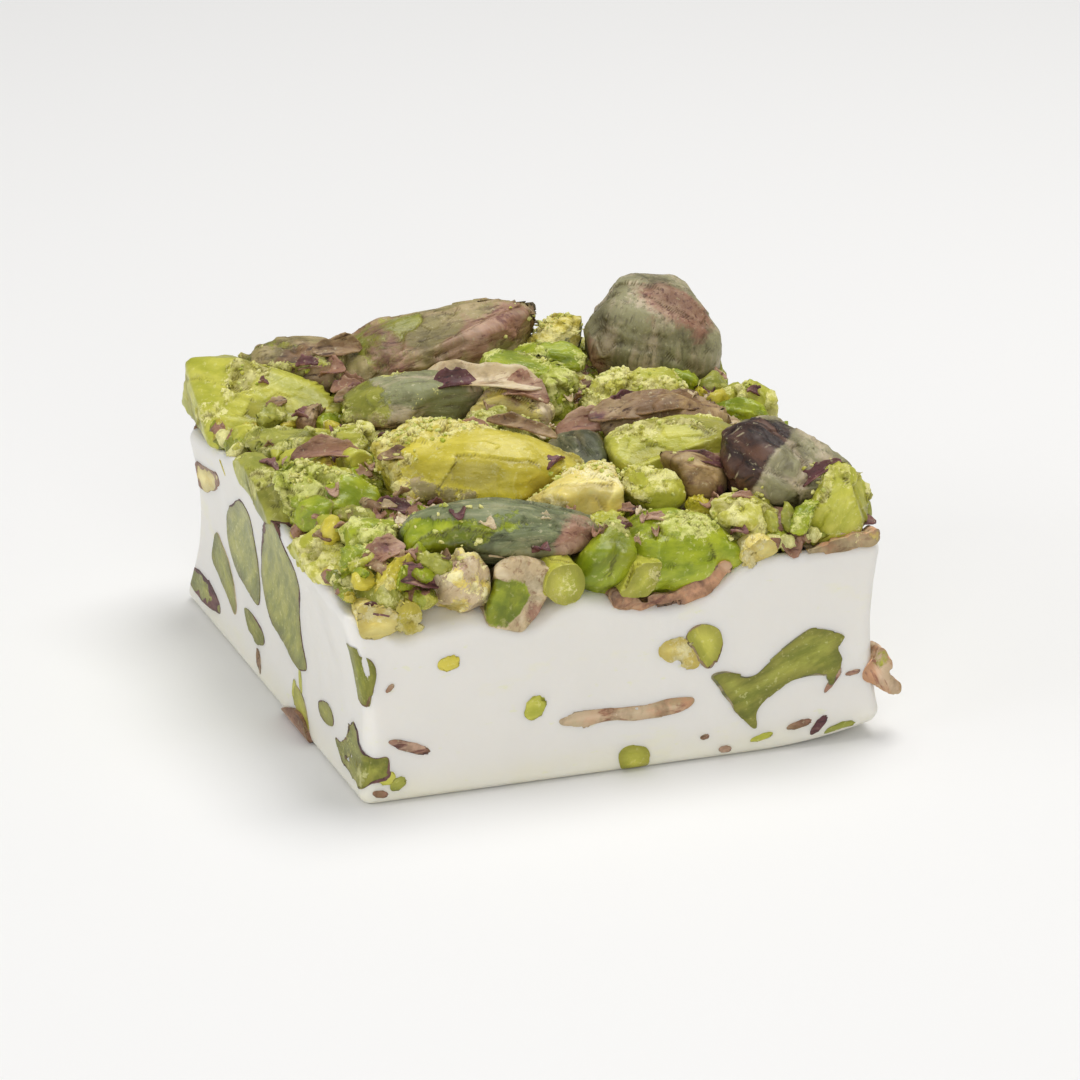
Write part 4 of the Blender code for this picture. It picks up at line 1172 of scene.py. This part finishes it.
def sculpt(name, look, seed, cut):
    if name in OUTLINES:
        side, corners = OUTLINES[name]
        start = INLAY_START + look.stand * MM
        outline = inlay(name, side, corners, start, RAGGED_EDGE * look.rough, seed)
        mesh = refined(outline, INLAY_SOFTENING, INLAY_VOXEL)
    elif name in HULLS:
        mesh = refined(hull(name, HULLS[name]), look.soft, VOXEL)
    elif cut:
        mesh = refined(packed_mesh(name), CUT_SOFTENING, FINE_VOXEL)
    else:
        mesh = refined(packed_mesh(name), look.soft, VOXEL)
    points = get_points(mesh)
    axes = grain_axes(points)
    own = (points - points.mean(axis=0)) @ axes.T
    if look.facets:
        depth = DEEP_CLEFT if look.facets == CHUNK["facets"] else SHALLOW_CLEFT
        set_points(mesh, cleave(points, axes, look.facets, depth, seed))
        points = get_points(mesh)
    for place, normal in CLEFTS.get(name, ()):
        normal = np.array(normal) / np.linalg.norm(normal)
        beyond = np.maximum((points - np.array(place) * MM) @ normal + 2 * SWELL, 0)
        points = points - CLEFT_STRENGTH * beyond[:, None] * normal
        set_points(mesh, points)
    masks = masks_of(name, look, points, seed)
    if look.facets:
        broken = EDGE_CRUMBS * ramp(look.crumb, -0.4, 0.2)
        masks["crumb"] = np.clip(masks["crumb"] + broken * bulge(mesh, 7), 0, 1)
    relief = relief_of(look, masks, points, own, seed)
    normals = get_normals(mesh)
    if cut:
        swell, seam = (0 if name in OUTLINES else CUT_SWELL), 0
    else:
        swell, seam = growth(points, normals, solid_tree([other for other in LOOKS if other != name]))
    grown = points + normals * (relief + swell)[:, None]
    allowance = np.full(4, CUT_PROUD + look.stand * MM if cut else look.overhang * MM)
    if name == "right_corner_skin":
        allowance[RIGHT] = SKIN_TAIL
    moved = trim_to_sides(grown, allowance)
    on_face = np.linalg.norm(grown - moved, axis=1) > 0.01 * MM
    moved[:, 2] = np.maximum(moved[:, 2], 0)
    set_points(mesh, moved)
    # Painted shade for the material: points low in the relief, in creases and in seams between nuts get darker. On a
    # cut face the value is instead the deeper green of the flesh near the rim.
    lowest, highest = np.percentile(relief, (4, 60))
    crease_shade_and_rim_green = 0.5 * (1 - ramp(relief, lowest, highest)) + 0.7 * ramp(-bulge(mesh, 2), 0.1, 0.9) + 0.8 * seam
    if cut and on_face.any():
        depth = rim_depth(moved, on_face)
        rim = look.rim * MM * 2 * ramp(waves(moved, 2.6 * MM, seed, 3), -0.3, 0.7)
        rimmed = np.clip(1 - 0.5 * depth / (rim + 1e-6), 0, 1) * (look.rim > 0)
        masks["skin"] = np.maximum(masks["skin"] * (look.peel > 0), rimmed)
        crease_shade_and_rim_green = np.where(on_face, 0.5 - 0.5 * ramp(depth, 0, GREEN_WIDTH), crease_shade_and_rim_green)
    grain = own[:, (1, 0, 2)] if look.across else own
    store(mesh, "grain", grain + 0.031 * (seed + 1))
    store(mesh, "crease_shade_and_rim_green", crease_shade_and_rim_green)
    for kind, mask in masks.items():
        store(mesh, kind, mask)
    return mesh


total = 0
for seed, name in enumerate(nut_names):
    cut = name not in LOOKS
    look = (CUT_LOOKS.get(name) or CUT_LOOKS[slots[name]]) if cut else LOOKS[name]
    mesh = sculpt(name, look, seed, cut)
    place_piece(name + "_nut", mesh, nut_material(look.flesh, look.skin, look.stain), slots[name], name)
    total += len(mesh.polygons)
print(len(nut_names), "nuts,", total, "faces")

# %% [markdown]
# A few smaller chips sit in the front border, half in the white and half in the crust. They are
# made like the inlaid nuts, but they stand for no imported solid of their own.

# %% Chips in the front border
border_names = [name for name in OUTLINES if name not in slots]
for seed, name in enumerate(border_names, start=len(nut_names)):
    look = CUT_LOOKS[name]
    mesh = sculpt(name, look, seed, True)
    place_piece(name, mesh, nut_material(look.flesh, look.skin, look.stain), "chip_bed")
print(len(border_names), "chips in the front border")


# %% [markdown]
# Between the large nuts the crust is a bed of chips so small that they were never placed, only
# pressed on. The bed's own solid becomes a rough core, and real chips lie on it. To pile them up
# without a simulation, a height map of the crust is kept: a grid that knows the highest point over
# each quarter of a millimetre. A chip tries a few random spots and settles in the lowest.

# %% The core of the bed
CORE_SWELL = 0.25 * MM
core = refined(packed_mesh("chip_bed"), 1, 0.45 * MM)
points = get_points(core)
crust = 0.55 * shards(points, 1.5 * MM, 5) + 0.35 * shards(points, 0.8 * MM, 6) + 0.2 * grains(points, 0.6 * MM, 7)
points += get_normals(core) * (CORE_SWELL + crust * MM)[:, None]
points = trim_to_sides(points, 0.05 * MM)
set_points(core, points)
crust_material = bpy.data.materials.new("crushed_pistachio")
crust_material.use_nodes = True
tree = crust_material.node_tree
shader = tree.nodes["Principled BSDF"]
place = node(tree, "TexCoord").outputs["Object"]
chips = crushed(tree, place)
tones = use_group(tree, crumb_tones, {"Place": place, "Rich": rgb(0.7, 0.7, 0.6), "Pale": rgb(1.0, 1.0, 1.0)})
tree.links.new(mix(tree, 1.0, chips, tones["Color"], "MULTIPLY"), shader.inputs["Base Color"])
bump = node(tree, "Bump", {"Height": tones["Height"], "Distance": FINE_RELIEF, "Strength": 0.9})
tree.links.new(bump.outputs["Normal"], shader.inputs["Normal"])
tree.links.new(rise(tree, tones["Height"], -0.6, 1.2), shader.inputs["Roughness"])
place_piece("bed_core", core, crust_material, "chip_bed", "chip_bed")

# %% The height map
CELL = 0.25 * MM
COLUMNS, ROWS = int(WIDTH / CELL) + 12, int(DEPTH / CELL) + 12
height_map = np.zeros((COLUMNS, ROWS))


def cells_of(points):
    column = np.clip((points[:, 0] / CELL + COLUMNS / 2).astype(int), 0, COLUMNS - 1)
    row = np.clip((points[:, 1] / CELL + ROWS / 2).astype(int), 0, ROWS - 1)
    return column, row


def raise_map(points):
    """Lifts the height map to the highest of these points."""
    np.maximum.at(height_map, cells_of(points), points[:, 2])


def level_at(x, y, reach):
    """Mean height of the crust under something of that radius."""
    column, row = cells_of(np.array([(x, y, 0)]))
    wide = max(1, int(reach / CELL))
    patch = height_map[max(column[0] - wide, 0):column[0] + wide + 1, max(row[0] - wide, 0):row[0] + wide + 1]
    return patch.mean()


for obj in list(scene.objects):
    if obj.get("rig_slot") and not obj.get("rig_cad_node"):
        raise_map(get_points(obj.data))
print("crust from", (height_map[8:-8, 8:-8].min() / MM).round(1), "to", (height_map.max() / MM).round(1), "mm")

# %% [markdown]
# A chip is an icosphere whose sides have been pressed flat against a few random planes, as a nut
# breaks. Sixteen such shapes are made once, and every chip is a copy of one, turned and scaled.

# %% Chip shapes
chance = np.random.default_rng(7)
SHAPES = 16


def broken_ball(divisions, planes, jitter):
    """A ball of radius one, broken flat on a few sides."""
    bm = bmesh.new()
    bmesh.ops.create_icosphere(bm, subdivisions=divisions, radius=1)
    mesh = bpy.data.meshes.new("broken_ball")
    bm.to_mesh(mesh)
    bm.free()
    points = get_points(mesh)
    for _ in range(planes):
        normal = chance.normal(size=3)
        normal /= np.linalg.norm(normal)
        reach = chance.uniform(0.35, 0.75)
        points -= np.maximum(points @ normal - reach, 0)[:, None] * normal
    points += jitter * (grains(points, 0.55, int(chance.integers(99))) - 0.5)[:, None] * points
    points += 0.35 * jitter * chance.normal(size=points.shape)
    set_points(mesh, points * (1.25, 0.95, 0.8))
    return mesh


chip_shapes = [broken_ball(4 if index % 4 == 0 else 3, 7, 0.12) for index in range(SHAPES)]
crumb_shapes = [broken_ball(1, 0, 0.5) for _ in range(SHAPES)]


def tumbled(place, size, turn):
    """A matrix that turns and scales a shape, and moves it to its place."""
    return Matrix.LocRotScale(Vector(place), turn, Vector(size))


def random_turn():
    return Vector(chance.normal(size=3)).to_track_quat("Z", "Y")


class Pile:
    """Many small pieces of one kind, joined in one mesh."""

    def __init__(self, name, material, slot):
        self.name, self.material, self.slot = name, material, slot
        self.bm = bmesh.new()
        self.sizes, self.shares = [], []

    def add(self, shape, matrix, shares, allowance=0.3 * MM):
        """shares is how much skin, crumb and stain covers this piece."""
        copy = shape.copy()
        copy.transform(matrix)
        points = trim_to_sides(get_points(copy), allowance)
        points[:, 2] = np.maximum(points[:, 2], 0)
        set_points(copy, points)
        self.bm.from_mesh(copy)
        self.sizes.append(len(copy.vertices))
        self.shares.append(shares)
        bpy.data.meshes.remove(copy)
        return points

    def finish(self):
        mesh = bpy.data.meshes.new(self.name)
        bmesh.ops.recalc_face_normals(self.bm, faces=self.bm.faces)
        self.bm.to_mesh(mesh)
        self.bm.free()
        points = get_points(mesh)
        shares = np.repeat(np.array(self.shares), self.sizes, axis=0)
        for axis, kind in enumerate(("skin", "crumb", "stain")):
            spotted = shares[:, axis] + 0.6 * waves(points, 1.2 * MM, 40 + axis, 2)
            store(mesh, kind, np.clip(spotted, 0, 1))
        store(mesh, "grain", points)
        # Chips, crumbs, flakes and specks get no painted shade.
        store(mesh, "crease_shade_and_rim_green", np.zeros(len(points)))
        place_piece(self.name, mesh, self.material, self.slot)
        print(self.name, len(self.sizes), "pieces,", len(mesh.polygons), "faces")


# %% Chips
CHIP_KINDS = {
    "bright": (0.30, Pile("bright_chips", nut_material("bright", "deep", "rose"), "chip_bed")),
    "green": (0.22, Pile("green_chips", nut_material("green", "grey", "brown"), "chip_bed")),
    "lime": (0.26, Pile("lime_chips", nut_material("lime", "olive", "rose"), "chip_bed")),
    "yellow": (0.14, Pile("yellow_chips", nut_material("yellow", "beige", "rose"), "chip_bed")),
    "skin": (0.08, Pile("skin_chips", nut_material("green", "brown", "plum"), "chip_bed")),
}
CHIP_COUNT = 360
TRIES = 16
CHIP_CEILING = 17.9 * MM
# Chips keep away from the left and front sides, where the camera would see them hang over the edge.
CHIP_LOW = np.array((-WIDTH, -DEPTH)) / 2 + 1.6 * MM
CHIP_HIGH = np.array((WIDTH, DEPTH)) / 2 - 0.7 * MM
weights = [weight for weight, _ in CHIP_KINDS.values()]
piles = [pile for _, pile in CHIP_KINDS.values()]
for size in sorted(chance.uniform(0.55, 1.0, CHIP_COUNT) ** 1.8 * 1.75 * MM, reverse=True):
    spots = chance.uniform(CHIP_LOW, CHIP_HIGH, (TRIES, 2))
    levels = [level_at(x, y, size) for x, y in spots]
    lowest = int(np.argmin(levels))
    if levels[lowest] > CHIP_CEILING:
        continue
    place = (*spots[lowest], levels[lowest] + 0.15 * size)
    which = int(chance.choice(len(piles), p=weights))
    shares = (1.1 if piles[which].name == "skin_chips" else 0.05, chance.uniform(-0.1, 0.5), chance.uniform(-0.3, 0.3))
    matrix = tumbled(place, [size * s for s in chance.uniform(0.8, 1.2, 3)], random_turn())
    raise_map(piles[which].add(chip_shapes[chance.integers(SHAPES)], matrix, shares))
for pile in piles:
    pile.finish()

# %% [markdown]
# Crumbs are what is left when nuts are chopped. They are a few tenths of a millimetre, so twenty
# faces are enough for one. They lie where they fell off, around the broken parts of the nuts.

# %% Crumbs
CRUMB_COUNT = 1100
CRUMB_SPREAD = 0.6 * MM
CRUMB_FLOOR = 12 * MM
broken_spots = []
for obj in scene.objects:
    if obj.get("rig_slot") and "crumb" in obj.data.attributes:
        share = np.empty(len(obj.data.vertices), np.float32)
        obj.data.attributes["crumb"].data.foreach_get("value", share)
        upward = get_normals(obj.data)[:, 2] > 0.3
        broken_spots.append(get_points(obj.data)[(share > 0.6) & upward])
broken_spots = np.concatenate(broken_spots)
pale_crumbs = Pile("pale_crumbs", nut_material("lime", "beige", "beige"), "chip_bed")
green_crumbs = Pile("green_crumbs", nut_material("bright", "deep", "rose"), "chip_bed")
for index in range(CRUMB_COUNT):
    size = chance.uniform(0.08, 0.24) * MM
    spot = broken_spots[chance.integers(len(broken_spots))][:2] + chance.normal(size=2) * CRUMB_SPREAD
    height = level_at(*spot, CELL)
    if height < CRUMB_FLOOR or np.abs(spot / (WIDTH, DEPTH)).max() > 0.48:
        continue
    pile = pale_crumbs if index % 3 else green_crumbs
    matrix = tumbled((*spot, height), [size * s for s in chance.uniform(0.7, 1.4, 3)], random_turn())
    pile.add(crumb_shapes[chance.integers(SHAPES)], matrix, (0, 0.8, 0))
pale_crumbs.finish()
green_crumbs.finish()

# %% [markdown]
# Pistachio skin is thinner than paper and dries as it is roasted, so it curls and comes off in
# flakes. A flake is a grid that is narrowed to ragged ends, curled across and bent along, and then
# given a thickness. The ones that stand out are placed one by one, by centre, size and angles.

# %% Skin flakes
FLAKE_THICKNESS = 0.14 * MM
Flake = namedtuple("Flake", "kind centre length width heading nose roll curl bend", defaults=(0, 0, 0.35, 0.1))


def flake_shape(length, width, curl, bend, seed):
    """A flake along X, given in millimetres, that curls up at its sides and bends down at its ends."""
    bm = bmesh.new()
    bmesh.ops.create_grid(bm, x_segments=22, y_segments=10, size=1)
    mesh = bpy.data.meshes.new("flake")
    bm.to_mesh(mesh)
    x, y, _ = get_points(mesh).T
    ragged = 1 + 0.5 * waves(np.stack([x * 2.2, np.sign(y), 0 * x + seed], axis=1), 0.7, seed, 3)
    y = y * ragged * np.maximum(1 - np.abs(x) ** 2.6, 0.05) ** 0.6
    wave = waves(np.stack([x * 2.0, y * 1.2, 0 * x + seed], axis=1), 0.9, seed + 5, 3)
    lift = curl * width * y * y - bend * length * x * x + 0.12 * wave * min(width, 1.5)
    for vert, place in zip(bm.verts, np.stack([x * length / 2, y * width / 2, lift], axis=1)):
        vert.co = Vector(place) * MM
    bmesh.ops.recalc_face_normals(bm, faces=bm.faces)
    bmesh.ops.solidify(bm, geom=bm.faces[:], thickness=FLAKE_THICKNESS)
    bm.to_mesh(mesh)
    bm.free()
    return mesh


FLAKES = [
    Flake("rose", (5.2, 0.2, 19.2), 4.8, 2.3, -4, 4, 35),
    Flake("plum", (8.4, 1.3, 20.5), 4.0, 0.8, 30, 8, 30),
    Flake("beige", (16.6, -1.2, 18.5), 1.7, 1.0, 10, 0, 20),
    Flake("plum", (9.8, -13.2, 20.6), 5.0, 0.9, -6, -18, 40),
    Flake("beige", (-1.4, 6.6, 21.6), 10.0, 2.8, -30, 2, 25, 0.25, 0.06),
    Flake("rose", (1.6, 4.2, 20.9), 4.0, 2.4, -25, -10, 20),
    Flake("plum", (-3.4, 6.6, 21.6), 3.6, 1.6, -12, 4, 30),
    Flake("brown", (-2.2, -6.2, 22.3), 5.6, 0.9, -33, -10, 40),
    Flake("rose", (-15.3, 0.7, 19.3), 5.6, 1.7, -6, -4, 30),
    Flake("plum", (-13.6, -10.3, 18.7), 3.2, 1.1, -44, -8, 30),
    Flake("brown", (-12.0, -6.6, 21.2), 3.4, 1.1, -24, 4, 30),
    Flake("rose", (-5.9, -5.6, 22.6), 2.4, 0.8, -16, 0, 30),
    Flake("rose", (-17.3, -19.4, 18.8), 3.6, 1.9, 8, 14, 30),
    Flake("plum", (-15.6, -21.2, 17.3), 4.6, 1.4, -4, -18, 50),
    Flake("plum", (-18.6, -22.1, 15.5), 2.9, 0.7, -2, -16, 60),
    Flake("rose", (13.5, -20.7, 17.2), 4.6, 1.9, -82, -38, 10),
    Flake("brown", (14.6, -20.9, 17.4), 3.0, 1.2, -70, -30, -20),
    Flake("plum", (16.5, -18.8, 20.5), 4.4, 1.0, -26, 38, 40),
    Flake("beige", (18.4, -21.3, 16.6), 3.4, 1.0, 2, -4, 12),
    Flake("brown", (7.2, -1.4, 20.4), 4.6, 2.2, -8, 2, 26, 0.3, 0.04),
    Flake("brown", (11.2, -1.6, 20.6), 6.0, 2.2, 4, -2, 20, 0.3, 0.04),
    Flake("plum", (19.4, -20.6, 17.0), 2.6, 0.9, -20, 10, 30),
    Flake("brown", (17.6, -21.0, 16.9), 2.4, 1.0, 15, 0, 20),
    Flake("rose", (-12.0, 16.4, 20.6), 2.4, 1.0, -14, 6, 30),
    Flake("rose", (-9.2, 14.6, 19.2), 2.6, 1.4, -20, 0, 40),
    Flake("brown", (-9.4, 17.0, 21.6), 4.4, 1.6, 8, -4, 50),
    Flake("plum", (-12.4, 16.0, 21.0), 1.9, 0.9, -30, 10, 30),
    Flake("rose", (-10.5, 15.6, 20.3), 2.4, 1.6, -50, 20, 30),
    Flake("rose", (-10.2, 12.8, 19.9), 2.6, 1.0, -25, 15, 35),
    Flake("plum", (-9.8, 11.0, 19.9), 2.4, 1.2, 25, 0, 40),
    Flake("plum", (-6.8, 11.2, 20.3), 4.6, 0.8, 14, 6, 50),
    Flake("brown", (-10.6, 10.4, 20.0), 2.8, 1.1, 18, 0, 20),
    Flake("brown", (-7.4, 14.0, 19.0), 2.4, 0.9, -32, 0, 20),
    Flake("beige", (0.4, -20.6, 16.6), 2.8, 1.2, -18, -20, 30),
    Flake("beige", (-9.2, -19.9, 18.1), 3.8, 1.4, -12, -6, 40),
]
FLAKE_PILES = {
    "rose": Pile("rose_skin_flakes", nut_material("pale", "rose", "plum"), "pistachio_skin"),
    "plum": Pile("plum_skin_flakes", nut_material("pale", "plum", "rose"), "pistachio_skin"),
    "brown": Pile("brown_skin_flakes", nut_material("pale", "brown", "plum"), "pistachio_skin"),
    "beige": Pile("beige_skin_flakes", nut_material("pale", "beige", "rose"), "pistachio_skin"),
}


def angled(heading, nose, roll):
    """A turn by heading round Z, after nose up and a roll about the long axis, in degrees."""
    turn = Matrix.Rotation(math.radians(heading), 3, "Z")
    turn = turn @ Matrix.Rotation(math.radians(-nose), 3, "Y") @ Matrix.Rotation(math.radians(roll), 3, "X")
    return turn.to_quaternion()


for seed, flake in enumerate(FLAKES):
    shape = flake_shape(flake.length, flake.width, flake.curl, flake.bend, seed)
    matrix = tumbled(Vector(flake.centre) * MM, (1, 1, 1), angled(flake.heading, flake.nose, flake.roll))
    raise_map(FLAKE_PILES[flake.kind].add(shape, matrix, (1.2, -0.6, 0.15), 0.5 * MM))
print(len(FLAKES), "flakes placed by hand")

# %% [markdown]
# The rest of the skin lies about in small bits. They are scattered like the crumbs, flat on
# whatever is under them.

# %% Small bits of skin
BIT_COUNT = 150
bit_shapes = [flake_shape(2.0, chance.uniform(0.7, 1.3), 0.3, 0.1, 60 + index) for index in range(8)]
kinds = list(FLAKE_PILES.values())
for index in range(BIT_COUNT):
    size = chance.uniform(0.35, 1.0)
    spots = chance.uniform(-1, 1, (4, 2)) * (WIDTH / 2 - MM, DEPTH / 2 - MM)
    levels = [level_at(x, y, 2 * CELL) for x, y in spots]
    lowest = int(np.argmin(levels))
    turn = angled(chance.uniform(0, 360), chance.uniform(-20, 20), chance.uniform(-25, 25))
    matrix = tumbled((*spots[lowest], levels[lowest] + 0.1 * MM), (size, size, 1), turn)
    kinds[index % 4].add(bit_shapes[index % 8], matrix, (1.2, -0.3, 0.1))
for pile in kinds:
    pile.finish()

# %% [markdown]
# In the cut sides there are specks too small to be solids of their own: crumbs, bits of skin and
# tails of kernels. Each is a flat lens in the plane of its side. Its place along the side and its
# height are in millimetres, and the shape of the block says how deep it lies.

# %% Specks in the sides
Speck = namedtuple("Speck", "kind side spot height length width lean")
SPECKS = [
    Speck("yellow", "left", 10.3, 15.2, 1.2, 0.5, 80),
    Speck("yellow", "left", 16.9, 6.4, 1.3, 0.4, 80),
    Speck("brown", "left", 3.3, 1.6, 2.2, 0.8, 50),
    Speck("lime", "left", -5.3, 2.4, 2.0, 1.0, 70),
    Speck("lime", "left", -6.4, 3.6, 2.4, 0.6, 60),
    Speck("yellow", "front", -13.3, 10.6, 1.7, 1.2, 20),
    Speck("brown", "front", -17.8, 9.2, 0.8, 0.4, 50),
    Speck("brown", "front", -16.4, 4.4, 3.3, 0.8, -20),
    Speck("lime", "front", -6.6, 6.1, 1.9, 1.5, 70),
    Speck("brown", "front", 16.9, 5.2, 2.2, 0.5, 55),
    Speck("brown", "front", 18.5, 5.6, 1.2, 0.4, 10),
    Speck("brown", "front", 14.2, 2.0, 2.0, 0.6, 12),
    Speck("plum", "front", 15.8, 1.7, 1.8, 0.7, 50),
    Speck("green", "front", 17.5, 1.2, 2.4, 0.9, 14),
    Speck("lime", "front", -18.2, 2.2, 1.4, 1.1, 0),
    Speck("green", "front", -17.3, 1.6, 1.3, 0.9, 40),
    Speck("brown", "front", -18.7, 1.0, 1.2, 0.6, -10),
    Speck("brown", "front", 8.3, 0.8, 1.0, 0.6, 0),
    Speck("brown", "front", 6.7, 2.0, 0.7, 0.4, 15),
    Speck("lime", "front", 11.2, 1.4, 1.8, 0.5, 14),
    Speck("lime", "right", -15.0, 4.0, 2.2, 1.2, 30),
    Speck("brown", "right", -1.0, 11.0, 1.8, 0.7, -20),
    Speck("green", "right", 10.0, 4.0, 2.6, 1.2, 60),
    Speck("yellow", "right", 17.5, 6.0, 1.6, 1.0, 0),
    Speck("lime", "back", -4.0, 11.0, 2.0, 1.1, -40),
    Speck("brown", "back", 7.0, 4.0, 2.4, 0.6, 20),
    Speck("green", "back", 17.0, 5.0, 2.2, 1.2, 50),
    Speck("yellow", "back", -17.0, 4.0, 1.5, 1.1, 0),
]
SPECK_PILES = {
    "lime": (Pile("lime_specks", nut_material("lime", "olive", "rose"), "green_flesh"), (-0.5, 0.1, -0.5)),
    "green": (Pile("green_specks", nut_material("green", "grey", "brown"), "green_flesh"), (-0.4, 0.1, -0.5)),
    "yellow": (Pile("yellow_specks", nut_material("yellow", "beige", "rose"), "yellow_flesh"), (-0.5, 0, -0.5)),
    "brown": (Pile("brown_specks", nut_material("pale", "rose", "brown"), "pistachio_skin"), (1.2, -0.6, 0.4)),
    "plum": (Pile("plum_specks", nut_material("pale", "plum", "rose"), "pistachio_skin"), (1.2, -0.6, 0)),
}
SPECK_PROUD = 0.04 * MM
lens = broken_ball(3, 2, 0.16)
for speck in SPECKS:
    pile, shares = SPECK_PILES[speck.kind]
    along_x = speck.side in ("front", "back")
    far = 1 if speck.side in ("right", "back") else -1
    spot, height = speck.spot * MM, speck.height * MM
    if along_x:
        middle = Vector((spot, far * DEPTH / 2 + float(lean(0, far, height)[1]), height))
    else:
        middle = Vector((far * WIDTH / 2 + float(lean(far, 2 * spot / DEPTH, height)[0]), spot, height))
    turn = angled(0 if along_x else 90, speck.lean, 0)
    size = Vector((speck.length / 2.3, 0.9, speck.width / 1.5)) * MM
    pile.add(lens, tumbled(middle, size, turn), shares, SPECK_PROUD)
for pile, _ in SPECK_PILES.values():
    pile.finish()
